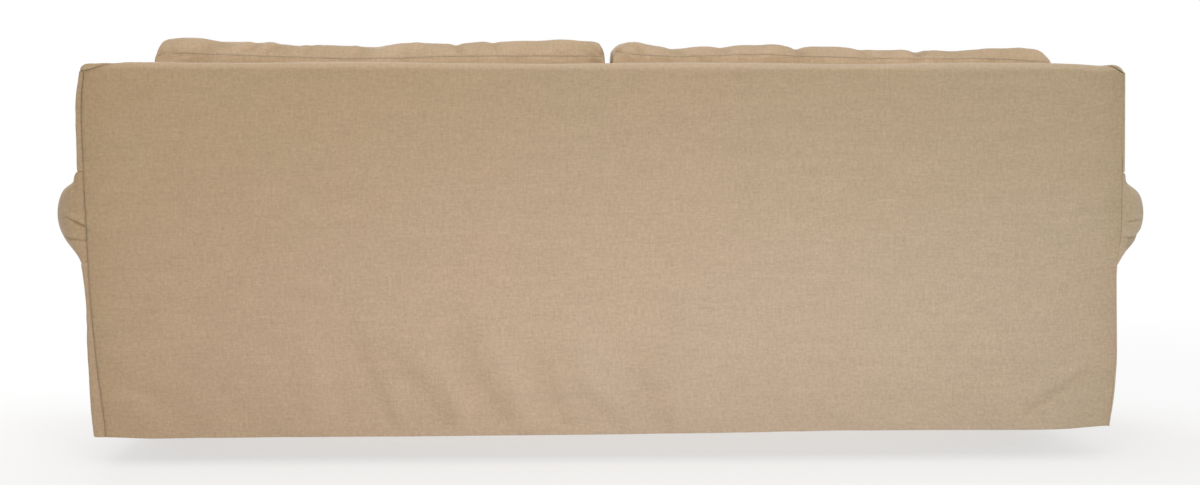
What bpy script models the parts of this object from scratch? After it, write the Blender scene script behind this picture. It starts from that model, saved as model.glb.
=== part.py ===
"""Slipcover for a rolled-arm sofa, with its two back and two seat cushions.

The cover is hollow and open at the bottom. Each cut panel is a sheet of cloth with its own
thickness, shaped as it fits the sofa inside, and each cushion is one filled solid.

Everything is worked out from the floor up: +X is the left side seen from behind, the front
faces -Y, and z = 0 is the floor. An empty then lowers the whole model, so that the origin is
under the middle of the cover's top, where the sofa's back carries it.
"""
from collections import namedtuple
import math

import bmesh
import bpy
import numpy as np

# ---- driving dimensions, in metres -------------------------------------------------------
CLOTH = 0.002               # thickness of the cloth
TRIM = 0.0003               # half of the gap along a seam
TUCK = 0.0026               # how far a panel stops short of the one it butts against
TOP = 0.887                 # underside of the cloth on top of the back
TOP_CORNER = 0.016          # how far the top panel turns down at the sides
REAR_TOP = 0.080            # y of the outside back, at the top
REAR_RAKE = 0.065           # how far the outside back leans back over its height
REAR_ROUND = 0.014          # radius of the rear top edge
FRONT_TOP = -0.080          # y of the inside back, at the top
FRONT_ROUND = 0.025         # radius of the front top edge
FRONT_SLOPE = 0.110 / 0.572     # run over rise of the inside back
DECK = 0.290                # height of the seat deck
FRONT = -0.900              # y of the arms' and the front border's face
HEM_FRONT = 0.062           # hem height along the front
ARM_WIDTH = 0.100           # half of the roll's width
ARM_RISE = 0.104            # half of the roll's height
ARM_UNDER = math.radians(-77.0)     # where the roll ends underneath, from its outermost line
CORNER_LEFT = 0.008         # radius of the rear corner on the left
CORNER_RIGHT = 0.003        # radius of the rear corner on the right
SEAM_PULL_RIGHT = 0.004     # how far the right seam lies in from the corner
TOP_SEAM = 0.005            # distance from the top face to the top seam, along the cloth
CORNER_SEAM_FROM = 1.020    # x where the top seam starts to drop

SEAT_GAP = 0.0005           # clearance of a cushion to what carries it
SEAT_HEIGHT = 0.165         # boxing of a seat cushion
SEAT_CROWN = 0.020          # rise of a seat cushion between its seams
SEAT_FRONT_PUFF = 0.008     # rise of its front boxing
SEAT_REAR = -0.212          # y of the seat cushions' rear edge
SEAT_FRONT = -0.904         # y of the seat cushions' front edge
SEAT_INNER = 0.003          # x where a seat cushion starts, beside the middle
SEAT_OUTER = 1.018          # x where it ends, beside the arm
CUSHION_INNER = 0.006       # x where a back cushion starts
CUSHION_OUTER = 1.018       # x where it ends
CUSHION_SEAM = 0.917        # height of its rear top seam
CUSHION_BOXING = 0.150      # depth of its boxing
CUSHION_CROWN = 0.045       # rise of its front face
CUSHION_PUFF = 0.024        # rise of its top boxing above the seams
CUSHION_SIDE_PUFF = 0.003   # rise of its side boxing

CLOTH_COLOUR = (0.50, 0.37, 0.26)
CUSHION_COLOUR = (0.56, 0.43, 0.31)
CLOTH_ROUGHNESS = 0.92

# Half width of the back under the cloth, and the x of the seam on the rear face at the left.
Edge = namedtuple("Edge", "height left right seam")
EDGES = [
    Edge(0.058, 1.131, 1.138, 1.1085),
    Edge(0.090, 1.134, 1.140, 1.1105),
    Edge(0.140, 1.137, 1.146, 1.1160),
    Edge(0.230, 1.140, 1.148, 1.1250),
    Edge(0.370, 1.143, 1.143, 1.1350),
    Edge(0.440, 1.148, 1.145, 1.1375),
    Edge(0.500, 1.153, 1.158, 1.1385),
    Edge(0.600, 1.154, 1.157, 1.1415),
    Edge(0.760, 1.154, 1.152, 1.1440),
    Edge(0.830, 1.150, 1.150, 1.1415),
    Edge(0.871, 1.143, 1.147, 1.1345),
]
EDGE_LINES = np.array(EDGES).T

# The hem's height above the floor along the outside back.
Hem = namedtuple("Hem", "x height")
HEMS = [
    Hem(-1.160, 0.082), Hem(-1.100, 0.072), Hem(-1.000, 0.068), Hem(-0.550, 0.069),
    Hem(0.000, 0.0635), Hem(0.460, 0.0605), Hem(0.900, 0.059), Hem(1.100, 0.060),
    Hem(1.150, 0.068),
]
HEM_LINES = np.array(HEMS).T

# Soft folds in the lower part of the outside back. Each runs from its upper end through a
# middle point to its lower end; depth is out of the back for a ridge, into it for a trough.
Fold = namedtuple("Fold", "x1 z1 x2 z2 x3 z3 depth width")
FOLDS = [
    Fold(1.116, 0.108, 1.080, 0.088, 1.040, 0.074, -0.003, 0.022),
    Fold(1.115, 0.158, 1.020, 0.120, 0.930, 0.096, 0.003, 0.026),
    Fold(0.995, 0.141, 0.945, 0.105, 0.890, 0.078, -0.004, 0.024),
    Fold(0.823, 0.118, 0.765, 0.090, 0.709, 0.072, -0.004, 0.024),
    Fold(0.701, 0.189, 0.653, 0.099, 0.614, 0.072, -0.004, 0.024),
    Fold(0.655, 0.257, 0.640, 0.170, 0.624, 0.099, 0.003, 0.028),
    Fold(0.545, 0.223, 0.520, 0.132, 0.431, 0.071, -0.006, 0.026),
    Fold(0.457, 0.188, 0.376, 0.109, 0.309, 0.070, -0.005, 0.025),
    Fold(0.379, 0.256, 0.346, 0.138, 0.302, 0.081, 0.004, 0.026),
    Fold(0.363, 0.312, 0.300, 0.165, 0.179, 0.074, -0.007, 0.027),
    Fold(0.263, 0.300, 0.225, 0.210, 0.190, 0.130, 0.005, 0.028),
    Fold(0.157, 0.232, 0.112, 0.119, 0.056, 0.068, -0.005, 0.025),
    Fold(0.068, 0.299, 0.052, 0.186, -0.034, 0.084, 0.005, 0.028),
    Fold(-0.067, 0.209, -0.101, 0.129, -0.184, 0.090, -0.005, 0.026),
    Fold(-0.274, 0.082, -0.345, 0.120, -0.405, 0.082, -0.004, 0.024),
    Fold(-0.619, 0.133, -0.545, 0.079, -0.489, 0.093, -0.004, 0.024),
    Fold(-0.834, 0.143, -0.790, 0.110, -0.750, 0.087, -0.004, 0.026),
    Fold(-1.140, 0.211, -1.028, 0.142, -0.859, 0.079, -0.006, 0.028),
]
FOLD_STEPS = 12             # points along a fold's curve
FOLD_MARGIN = 0.05          # the folds fade out this near to the side seams
BACK_COLUMNS = 63
MAIN_COLUMNS = 9
SHOULDER_STEPS = np.array([0.30, 0.60, 0.85, 0.95, 1.0])    # from the inside arm outwards
TURN_FROM = 0.75            # share of a shoulder where the top starts to turn down
EXTRA_ROWS = [0.115, 0.170, 0.200, 0.270, 0.320, 0.855]     # between the heights of EDGES

# Middle of each arm's roll, and the two creases across its rear facing: height above the
# roll's middle and depth.
Arm = namedtuple("Arm", "x z crease1 crease2 crease_depth")
ARMS = {
    "left": Arm(1.126, 0.552, -0.004, -0.042, 0.005),
    "right": Arm(1.135, 0.546, -0.004, -0.040, 0.004),
}
CREASE_WIDTH = 0.009

SIDES = {"left": 1, "right": -1}


# ---- the sofa's form ---------------------------------------------------------------------
def half_width(side, z):
    """Half width of the back on one side at height z, under the cloth."""
    return np.interp(z, EDGE_LINES[0], EDGE_LINES[1 if side == "left" else 2])


def seam_x(side, z):
    """Distance from the middle to the vertical seam on the rear face."""
    if side == "left":
        return np.interp(z, EDGE_LINES[0], EDGE_LINES[3])
    return half_width(side, z) - SEAM_PULL_RIGHT


def rear_y(z):
    """The outside back: it leans back towards its top."""
    return REAR_TOP - REAR_RAKE * np.clip(1.0 - z / (TOP - REAR_ROUND), 0.0, 1.0) ** 1.2


def inner_y(z):
    """The inside back: a plane that slopes forward towards the deck."""
    return FRONT_TOP - FRONT_SLOPE * (TOP - FRONT_ROUND - z)


def rear_profile(distance):
    """y and z at a distance along the cloth from the top face, over the rear edge and down."""
    arc = REAR_ROUND * math.pi / 2
    angle = np.minimum(distance / REAR_ROUND, math.pi / 2)
    z = TOP - REAR_ROUND + REAR_ROUND * np.cos(angle) - np.maximum(distance - arc, 0.0)
    over_edge = REAR_TOP - REAR_ROUND + REAR_ROUND * np.sin(angle)
    y = np.where(distance < arc, over_edge, rear_y(z))
    return y, z


def top_seam(x):
    """Distance along the rear profile to the top seam, which is pulled down at the left."""
    share = np.clip((x - CORNER_SEAM_FROM) / (seam_x("left", TOP) - CORNER_SEAM_FROM), 0.0, 1.0)
    corner_seam = REAR_ROUND * math.pi / 2 + TOP_CORNER - REAR_ROUND
    return TOP_SEAM + (corner_seam - TOP_SEAM) * share ** 1.5


def hem_height(x):
    """Height of the hem along the outside back."""
    return np.interp(x, HEM_LINES[0], HEM_LINES[1])


def fold_relief(x, z):
    """How far the folds push the outside back out, from the distance to each fold's curve."""
    relief = np.zeros(np.shape(x))
    steps = np.linspace(0.0, 1.0, FOLD_STEPS)
    for fold in FOLDS:
        middle_x = 2 * fold.x2 - (fold.x1 + fold.x3) / 2
        middle_z = 2 * fold.z2 - (fold.z1 + fold.z3) / 2
        curve_x = (1 - steps) ** 2 * fold.x1 + 2 * steps * (1 - steps) * middle_x + steps ** 2 * fold.x3
        curve_z = (1 - steps) ** 2 * fold.z1 + 2 * steps * (1 - steps) * middle_z + steps ** 2 * fold.z3
        distance = np.hypot(x[..., None] - curve_x, z[..., None] - curve_z)
        fade = np.sin(math.pi * (0.15 + 0.55 * steps))
        relief += fold.depth * np.max(fade * np.exp(-0.5 * (distance / fold.width) ** 2), axis=-1)
    return relief


def roll_section(arm, angle):
    """x and z on the roll's oval section; angle 0 is its outermost line, 90 degrees its top."""
    return arm.x + ARM_WIDTH * np.cos(angle), arm.z + ARM_RISE * np.sin(angle)


def roll_top_angle(side):
    """Angle on the roll's section where the back's side comes down onto it."""
    arm = ARMS[side]
    return math.acos((half_width(side, arm.z + ARM_RISE) - arm.x) / ARM_WIDTH)


# ---- making objects ----------------------------------------------------------------------
def cloth_material(name, colour):
    """A matt woven cloth in one colour."""
    material = bpy.data.materials.new(name)
    material.use_nodes = True
    shader = material.node_tree.nodes["Principled BSDF"]
    shader.inputs["Base Color"].default_value = (*colour, 1.0)
    shader.inputs["Roughness"].default_value = CLOTH_ROUGHNESS
    shader.inputs["Metallic"].default_value = 0.0
    return material


def add_object(name, mesh, colour):
    """Link a mesh into the model's collection, under the empty that lowers it."""
    mesh.materials.append(cloth_material(name + "_cloth", colour))
    thing = bpy.data.objects.new(name, mesh)
    bpy.data.collections["sofa_slipcover"].objects.link(thing)
    thing.parent = bpy.data.objects["sofa_top"]
    return thing


def add_sheet(name, grid, keep=None):
    """Cloth over a grid of points: rows run up and columns left to right, seen from outside."""
    rows, columns, _ = grid.shape
    index = np.arange(rows * columns).reshape(rows, columns)
    quads = np.stack([index[:-1, :-1], index[:-1, 1:], index[1:, 1:], index[1:, :-1]], axis=-1)
    if keep is not None:
        quads = quads[keep]
    used, quads = np.unique(quads.reshape(-1, 4), return_inverse=True)
    mesh = bpy.data.meshes.new(name)
    mesh.from_pydata(grid.reshape(-1, 3)[used].tolist(), [], quads.reshape(-1, 4).tolist())
    mesh.shade_smooth()
    thing = add_object(name, mesh, CLOTH_COLOUR)
    cloth = thing.modifiers.new("cloth", "SOLIDIFY")
    cloth.thickness = CLOTH
    cloth.offset = 1.0
    cloth.use_quality_normals = True
    return thing


def on_side(grid, side):
    """Mirror a grid made for the left side where it belongs on the right."""
    if side == "left":
        return grid
    return grid[:, ::-1] * np.array([-1.0, 1.0, 1.0])


def join(x, y, z):
    """One grid of points from three arrays of the same shape."""
    return np.stack(np.broadcast_arrays(x, y, z), axis=-1)


# ---- the panels --------------------------------------------------------------------------
def make_outside_back():
    """The outside back, from the hem up over the rear edge, with its folds."""
    across = np.linspace(1.0, -1.0, BACK_COLUMNS)[None, :]
    hem = hem_height(across * EDGE_LINES[1][0])
    heights = np.unique(np.concatenate([EDGE_LINES[0][1:-1], EXTRA_ROWS]))
    z = np.concatenate([hem, np.repeat(heights[:, None], BACK_COLUMNS, axis=1)])
    distance = REAR_ROUND * math.pi / 2 + TOP - REAR_ROUND - z
    seam = top_seam(across * seam_x("left", TOP)) + 2 * TRIM
    over_edge = distance[-1] + (seam - distance[-1]) * np.array([0.45, 0.75, 1.0])[:, None]
    y, z = rear_profile(np.concatenate([distance, over_edge]))
    x = np.where(across > 0, across * (seam_x("left", z) - TRIM), across * (seam_x("right", z) - TRIM))
    edge = np.where(across > 0, seam_x("left", z), seam_x("right", z))
    y = y + fold_relief(x, z) * np.clip((edge - np.abs(x)) / FOLD_MARGIN, 0.0, 1.0)
    add_sheet("outside_back", join(x, y, z))


def across_back(half_left, half_right):
    """x of a row of the inside back: even columns, then steps out over each shoulder."""
    inner = ARMS["left"].x - ARM_WIDTH
    main = np.linspace(inner, -inner, MAIN_COLUMNS)
    left = inner + SHOULDER_STEPS[::-1] * (half_left - inner)
    right = -inner - SHOULDER_STEPS * (half_right - inner)
    return np.concatenate([left, main, right])


def side_turn():
    """How far each column of the top panel turns down at the two sides, as a quarter oval."""
    share = np.concatenate([SHOULDER_STEPS[::-1], np.zeros(MAIN_COLUMNS), SHOULDER_STEPS])
    turned = np.clip((share - TURN_FROM) / (1.0 - TURN_FROM), 0.0, 1.0)
    return TOP_CORNER * (1.0 - np.sqrt(1.0 - turned ** 2))


def both_turns(side_drop, edge_drop):
    """Drop of a point that turns down at a side and over the front or rear edge at once."""
    left_over = (1.0 - side_drop / TOP_CORNER) * (1.0 - np.minimum(edge_drop / TOP_CORNER, 1.0))
    return np.where(edge_drop < TOP_CORNER, TOP_CORNER * (1.0 - left_over), edge_drop)


def make_inside_back():
    """The inside back: from the top seam over the top and down to the deck, with two shoulders."""
    corner_z = TOP - TOP_CORNER
    side_drop = side_turn()
    left = half_width("left", corner_z) - TRIM
    right = half_width("right", corner_z) - TRIM
    rows = []
    for half_left, seam_share, forward in ((seam_x("left", corner_z), 1.0, 0.0), (left, 0.5, 0.3)):
        x = across_back(half_left, right)
        y, z = rear_profile((top_seam(x) - 2 * TRIM) * seam_share)
        y = y - forward * REAR_ROUND * side_drop / TOP_CORNER
        rows.append(join(x, y, TOP - both_turns(side_drop, TOP - z)))
    x = across_back(left, right)
    for y in (REAR_TOP - REAR_ROUND - 0.004, 0.0, FRONT_TOP + FRONT_ROUND):
        rows.append(join(x, y, TOP - side_drop))
    for angle in np.radians([35.0, 70.0]):
        y = FRONT_TOP + FRONT_ROUND * (1.0 - math.sin(angle))
        edge_drop = FRONT_ROUND * (1.0 - math.cos(angle))
        rows.append(join(x, y, TOP - both_turns(side_drop, edge_drop)))
    for z in EDGE_LINES[0][-2:-4:-1]:
        x = across_back(half_width("left", z) - TRIM, half_width("right", z) - TRIM)
        rows.append(join(x, inner_y(z), z))
    foot = arm_line(x)
    x = across_back(half_width("left", foot[0]) - TRIM, half_width("right", foot[-1]) - TRIM)
    foot = arm_line(x)
    for share in (0.0, 0.5, 1.0):
        z = foot + (DECK + TUCK - foot) * share
        rows.append(join(x, inner_y(z), z))
    grid = np.stack(rows)
    keep = np.ones((grid.shape[0] - 1, grid.shape[1] - 1), dtype=bool)
    keep[-2:, :SHOULDER_STEPS.size] = False
    keep[-2:, -SHOULDER_STEPS.size:] = False
    add_sheet("inside_back", grid, keep)


def arm_line(x):
    """Lower edge of the inside back above the deck: the roll's outline beyond the inside arm."""
    outlines = {}
    for side, sign in SIDES.items():
        arm = ARMS[side]
        offset = np.clip((sign * x - arm.x) / ARM_WIDTH, -1.0, 1.0)
        outlines[side] = arm.z + ARM_RISE * np.sqrt(1.0 - offset ** 2)
    return np.where(x > 0, outlines["left"], outlines["right"])


def side_columns(side, z, bulge, front):
    """x and y of a side panel's columns at heights z, from its rear seam round the corner.

    The columns run along the side as far as the front line. A bulge adds a quarter oval in
    plan, from nothing at the rear corner to its full size at the front line.
    """
    corner = CORNER_LEFT if side == "left" else CORNER_RIGHT
    rear = rear_y(z)
    half = half_width(side, z)
    depth = rear - front
    slant = 1.0 - math.sqrt(0.5)
    x = [seam_x(side, z) + TRIM, half - corner, half - corner * slant, half]
    y = [rear, rear, rear - corner * slant, rear - corner]
    for share in (0.80, 0.55, 0.25, 0.0):
        x.append(half)
        y.append(front + depth * share)
    x = np.stack(x, axis=1)
    y = np.stack(y, axis=1)
    height_share = (y - front[:, None]) / depth[:, None]
    x = x + bulge[:, None] * np.sqrt(np.clip(1.0 - height_share ** 2, 0.0, 1.0))
    return x, y


def make_back_side(side):
    """The strip on the back's side, from the arm up to the top panel."""
    arm = ARMS[side]
    foot = arm.z + ARM_RISE * math.sin(roll_top_angle(side)) + TUCK
    head = TOP - TOP_CORNER - 2 * TRIM
    heights = EDGE_LINES[0]
    z = np.concatenate([[foot], heights[(heights > foot) & (heights < head)], [head]])
    x, y = side_columns(side, z, np.zeros(z.size), inner_y(z) + TRIM)
    grid = join(x, y, z[:, None])[:, ::-1]
    add_sheet("back_side_" + side, on_side(grid, side))


def make_arm(side):
    """The inside arm, over the roll, to the seam underneath."""
    arm = ARMS[side]
    top = roll_top_angle(side)
    outer = np.linspace(top, ARM_UNDER, 10)
    over = np.linspace(math.pi, top, 7)[:-1]
    angle = np.concatenate([over, outer])
    x, z = roll_section(arm, angle)
    straight = np.linspace(DECK + TUCK, arm.z, 4)[:-1]
    x = np.concatenate([np.full(straight.size, arm.x - ARM_WIDTH), x])
    z = np.concatenate([straight, z])
    stop = np.full(z.size, TUCK)
    stop[straight.size + over.size + 1:] = TRIM
    rear = inner_y(z) - stop
    y = FRONT + TRIM + (rear - FRONT - TRIM) * np.linspace(0.0, 1.0, 6)[:, None]
    add_sheet("arm_" + side, on_side(join(x, y, z), side))


def make_arm_rear(side):
    """The facing on the rear end of the roll: a dome with two creases across it."""
    arm = ARMS[side]
    angle = np.linspace(ARM_UNDER, roll_top_angle(side), 13)
    roll_x, z = roll_section(arm, angle)
    bulge = np.maximum(roll_x - half_width(side, z), 0.0)
    x, y = side_columns(side, z, bulge, inner_y(z) + 2 * TRIM)
    relief = np.zeros(z.shape)
    for crease in (arm.crease1, arm.crease2):
        relief += np.exp(-0.5 * ((z - arm.z - crease) / CREASE_WIDTH) ** 2)
    along = np.array([0.3, 0.7, 1.0, 1.0, 0.8, 0.4, 0.1, 0.0])
    y = y - arm.crease_depth * relief[:, None] * along
    grid = join(x, y, z[:, None])[:, ::-1]
    add_sheet("arm_rear_" + side, on_side(grid, side))


def make_arm_outside(side):
    """The panel below the roll, from the rear seam to the front, with its hem."""
    arm = ARMS[side]
    sign = SIDES[side]
    top = roll_section(arm, ARM_UNDER)[1] - TUCK
    corner_hem = hem_height(sign * half_width(side, HEM_FRONT))
    heights = EDGE_LINES[0]
    inner_rows = heights[(heights > corner_hem) & (heights < top - TUCK)]
    z = np.concatenate([[corner_hem], inner_rows, [top]])
    x, y = side_columns(side, z, np.zeros(z.size), inner_y(z))
    forward = np.linspace(0.25, 1.0, 4)
    x = np.concatenate([x, np.repeat(x[:, -1:], forward.size, axis=1)], axis=1)
    y = np.concatenate([y, y[:, -1:] + (FRONT + TRIM - y[:, -1:]) * forward], axis=1)
    ease = np.clip((REAR_TOP - y) / (REAR_TOP - FRONT), 0.0, 1.0)
    hang = (top - z[:, None]) / (top - corner_hem)
    z = z[:, None] + (HEM_FRONT - corner_hem) * ease * hang
    grid = join(x, y, z)[:, ::-1]
    add_sheet("arm_outside_" + side, on_side(grid, side))


def make_arm_front(side):
    """The flat facing on the arm's front, from the roll down to the hem."""
    arm = ARMS[side]
    angle = np.linspace(ARM_UNDER, math.pi, 18)
    x, z = roll_section(arm, angle)
    low = np.array([0.36, 0.25, 0.14, HEM_FRONT])
    x = np.concatenate([half_width(side, low[::-1]), x, [arm.x - ARM_WIDTH]])
    z = np.concatenate([low[::-1], z, [HEM_FRONT]])
    centre_x = arm.x
    x = x + TRIM * np.sign(centre_x - x)
    x = x * SIDES[side]
    outline = bpy.data.curves.new("arm_front_" + side, "CURVE")
    outline.dimensions = "2D"
    outline.fill_mode = "BOTH"
    outline.extrude = CLOTH / 2
    line = outline.splines.new("POLY")
    line.points.add(x.size - 1)
    flat = np.zeros((x.size, 4))
    flat[:, 0] = x
    flat[:, 1] = z
    flat[:, 3] = 1.0
    line.points.foreach_set("co", flat.ravel())
    line.use_cyclic_u = True
    outline.materials.append(cloth_material("arm_front_" + side + "_cloth", CLOTH_COLOUR))
    thing = bpy.data.objects.new("arm_front_" + side, outline)
    bpy.data.collections["sofa_slipcover"].objects.link(thing)
    thing.parent = bpy.data.objects["sofa_top"]
    thing.location = (0.0, FRONT - CLOTH / 2, 0.0)
    thing.rotation_euler = (math.pi / 2, 0.0, 0.0)


def inside_arm_edges():
    """x of the two inside arms, left then right."""
    return ARMS["left"].x - ARM_WIDTH - TRIM, ARM_WIDTH - ARMS["right"].x + TRIM


def make_seat_deck():
    """The flat panel that the seat cushions lie on."""
    left, right = inside_arm_edges()
    x = np.linspace(right, left, 4)
    y = np.linspace(FRONT + TRIM, inner_y(DECK) - TRIM, 4)[:, None]
    add_sheet("seat_deck", join(x, y, DECK))


def make_front_border():
    """The panel across the front below the deck, with its hem."""
    left, right = inside_arm_edges()
    x = np.linspace(right, left, 9)
    z = np.linspace(HEM_FRONT, DECK - TRIM, 4)[:, None]
    add_sheet("front_border", join(x, FRONT, z))


# ---- the cushions ------------------------------------------------------------------------
def sliced_box(counts):
    """A box from -1 to 1 whose faces are cut into counts of strips along x, y and z."""
    solid = bmesh.new()
    bmesh.ops.create_cube(solid, size=2.0)
    for axis, count in enumerate(counts):
        across = [float(axis == other) for other in range(3)]
        for place in np.linspace(-1.0, 1.0, count + 1)[1:-1]:
            bmesh.ops.bisect_plane(
                solid, geom=solid.verts[:] + solid.edges[:] + solid.faces[:],
                plane_co=[place * share for share in across], plane_no=across)
    return solid


def add_cushion(name, counts, shape):
    """A filled cushion: a sliced box whose points are moved by a shape function."""
    solid = sliced_box(counts)
    places = np.array([vertex.co[:] for vertex in solid.verts])
    for vertex, place in zip(solid.verts, shape(*places.T)):
        vertex.co = place
    bmesh.ops.recalc_face_normals(solid, faces=solid.faces)
    mesh = bpy.data.meshes.new(name)
    solid.to_mesh(mesh)
    solid.free()
    mesh.shade_smooth()
    add_object(name, mesh, CUSHION_COLOUR)


def make_back_cushion(side):
    """A boxed cushion that leans on the inside back and stands on the seat cushion."""
    sign = SIDES[side]
    lean = math.atan(FRONT_SLOPE)
    half = (CUSHION_OUTER - CUSHION_INNER) / 2
    middle = (CUSHION_OUTER + CUSHION_INNER) / 2
    foot = DECK + CLOTH + SEAT_GAP + SEAT_HEIGHT + SEAT_CROWN + 2 * SEAT_GAP
    length = (CUSHION_SEAM - foot) / math.cos(lean)
    rest_y = inner_y(foot) - CLOTH / math.cos(lean) - SEAT_GAP

    def shape(a, b, c):
        """a runs across, b through the thickness (rear at +1) and c upwards."""
        drawn = 1.0 - 0.022 * (1.0 - c ** 2) * np.abs(a) ** 3
        side_puff = CUSHION_SIDE_PUFF * np.sign(a) * np.abs(a) ** 12 * (1.0 - b ** 2) * (1.0 - c ** 4)
        x = sign * middle + half * a * drawn + side_puff
        crown = CUSHION_CROWN * (1.0 - a ** 4) * (1.0 - c ** 4)
        depth = (1.0 - b) / 2 * CUSHION_BOXING + np.where(b < 0, -b, 0.0) * crown
        top_puff = CUSHION_PUFF * (1.0 - b ** 2) * (1.0 - 0.6 * a ** 6) * np.clip(c, 0.0, 1.0) ** 4
        up = (c + 1.0) / 2 * length + top_puff
        y = rest_y - depth * math.cos(lean) + up * math.sin(lean)
        z = foot + up * math.cos(lean) + depth * math.sin(lean) * (c + 1.0) / 2
        return np.stack([x, y, z], axis=1)

    add_cushion("back_cushion_" + side, (14, 4, 7), shape)


def make_seat_cushion(side):
    """A boxed cushion that lies on the deck, crowned on top."""
    sign = SIDES[side]
    half = (SEAT_OUTER - SEAT_INNER) / 2
    middle = (SEAT_OUTER + SEAT_INNER) / 2
    foot = DECK + CLOTH + SEAT_GAP

    def shape(a, b, c):
        """a runs across, b from front to rear and c upwards."""
        drawn = 1.0 - 0.012 * (1.0 - b ** 2) * np.abs(a) ** 3
        x = sign * middle + half * a * drawn
        deep = (SEAT_REAR - SEAT_FRONT) / 2
        pulled = 1.0 - 0.016 * (1.0 - a ** 2) * np.abs(b) ** 3
        y = (SEAT_REAR + SEAT_FRONT) / 2 + deep * b * pulled
        crown = SEAT_CROWN * (1.0 - a ** 4) * (1.0 - b ** 4) * (c > 0.999)
        y = y - SEAT_FRONT_PUFF * np.where(b < 0, b ** 12, 0.0) * (1.0 - c ** 2) * (1.0 - a ** 6)
        z = foot + SEAT_HEIGHT * (c + 1.0) / 2 + crown
        return np.stack([x, y, z], axis=1)

    add_cushion("seat_cushion_" + side, (10, 7, 4), shape)


def clear_scene():
    """Remove whatever the file holds."""
    for thing in list(bpy.data.objects):
        bpy.data.objects.remove(thing, do_unlink=True)


def main():
    """Build every panel and cushion."""
    clear_scene()
    collection = bpy.data.collections.new("sofa_slipcover")
    bpy.context.scene.collection.children.link(collection)
    origin = bpy.data.objects.new("sofa_top", None)
    collection.objects.link(origin)
    origin.location = (0.0, 0.0, -TOP)
    make_outside_back()
    make_inside_back()
    make_seat_deck()
    make_front_border()
    for side in SIDES:
        make_back_side(side)
        make_arm(side)
        make_arm_rear(side)
        make_arm_outside(side)
        make_arm_front(side)
        make_back_cushion(side)
        make_seat_cushion(side)


main()
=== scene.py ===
"""Finish of a fitted linen cover for a rolled-arm sofa, with its back and seat cushions.

Each cut panel is a thin sheet of cloth over the form of the sofa inside. Heights are worked
out above the floor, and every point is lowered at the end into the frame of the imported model,
whose origin is under the middle of the cover's top. +X is the left side seen from behind.
"""
from collections import namedtuple
import math

import bpy
import numpy as np
from bpy.props import FloatProperty, FloatVectorProperty, PointerProperty
from bpy.types import Operator, Panel, PropertyGroup
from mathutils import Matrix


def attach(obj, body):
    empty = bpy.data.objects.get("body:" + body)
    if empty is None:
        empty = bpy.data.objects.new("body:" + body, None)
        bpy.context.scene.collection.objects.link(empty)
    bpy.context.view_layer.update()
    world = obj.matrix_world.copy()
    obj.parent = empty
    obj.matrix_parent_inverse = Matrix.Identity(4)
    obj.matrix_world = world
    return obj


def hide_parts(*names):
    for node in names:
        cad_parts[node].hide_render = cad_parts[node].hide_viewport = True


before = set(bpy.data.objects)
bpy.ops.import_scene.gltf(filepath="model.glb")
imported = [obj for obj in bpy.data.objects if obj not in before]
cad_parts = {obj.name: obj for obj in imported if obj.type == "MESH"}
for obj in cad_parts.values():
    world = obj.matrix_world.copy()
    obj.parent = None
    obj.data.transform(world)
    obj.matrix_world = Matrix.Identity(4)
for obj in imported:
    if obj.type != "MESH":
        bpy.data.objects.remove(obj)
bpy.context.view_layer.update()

bl_info = {
    "name": "Sofa Slipcover",
    "version": (1, 0, 0),
    "blender": (4, 5, 0),
    "location": "3D View > Sidebar > Slipcover",
    "description": "Sews a fitted linen sofa cover and its four loose cushions over a packed frame",
    "category": "Object",
}

# ---- the sofa's form, in metres above the floor ------------------------------------------
TRIM = 0.0003               # half of the gap along a seam
TUCK = 0.0026               # how far a panel stops short of the one it butts against
TOP = 0.887                 # underside of the cloth on top of the back
TOP_CORNER = 0.016          # how far the top panel turns down at the sides
REAR_TOP = 0.080            # y of the outside back, at the top
REAR_RAKE = 0.065           # how far the outside back leans back over its height
REAR_ROUND = 0.014          # radius of the rear top edge
FRONT_TOP = -0.080          # y of the inside back, at the top
FRONT_ROUND = 0.025         # radius of the front top edge
FRONT_SLOPE = 0.110 / 0.572     # run over rise of the inside back
DECK = 0.290                # height of the seat deck
FRONT = -0.900              # y of the arms' and the front border's face
HEM_FRONT = 0.062           # hem height along the front
ARM_WIDTH = 0.100           # half of the roll's width
ARM_RISE = 0.104            # half of the roll's height
# Where the roll ends underneath, from its outermost line.
ARM_UNDER = {"left": math.radians(-77.0), "right": math.radians(-86.0)}
FLAP = np.array([0.0015, 0.0040, 0.0080])   # rows of the seam allowance tucked under the next panel
FLAP_DEPTH = 0.0022         # how far in it lies
CORNERS = {"left": 0.008, "right": 0.003}   # radius of the two rear corners
SEAM_PULL_RIGHT = 0.0034    # how far the right seam lies in from the corner
SEAM_GAPS = {"left": 0.0003, "right": 0.0001}   # half of the gap along the two rear seams
TOP_SEAM = 0.0              # distance from the top face to the top seam, along the cloth
CORNER_SEAM_FROM = 1.020    # x where the top seam starts to drop
CORNER_SEAM_RIGHT = 0.050   # distance from the right seam over which it drops there

# Half width of the back under the cloth, and the x of the seam on the rear face at the left.
Edge = namedtuple("Edge", "height left right seam")
EDGES = np.array([
    Edge(0.058, 1.1340, 1.1410, 1.1085),
    Edge(0.090, 1.1375, 1.1440, 1.1105),
    Edge(0.140, 1.1400, 1.1505, 1.1160),
    Edge(0.230, 1.1438, 1.1540, 1.1250),
    Edge(0.370, 1.1450, 1.1490, 1.1350),
    Edge(0.440, 1.1510, 1.1465, 1.1375),
    Edge(0.500, 1.1555, 1.1580, 1.1385),
    Edge(0.600, 1.1560, 1.1570, 1.1415),
    Edge(0.760, 1.1582, 1.1540, 1.1440),
    Edge(0.830, 1.1565, 1.1524, 1.1415),
    Edge(0.871, 1.1450, 1.1515, 1.1345),
]).T
EDGE_REACH = 0.024          # height over which the corners of that table are rounded

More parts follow.
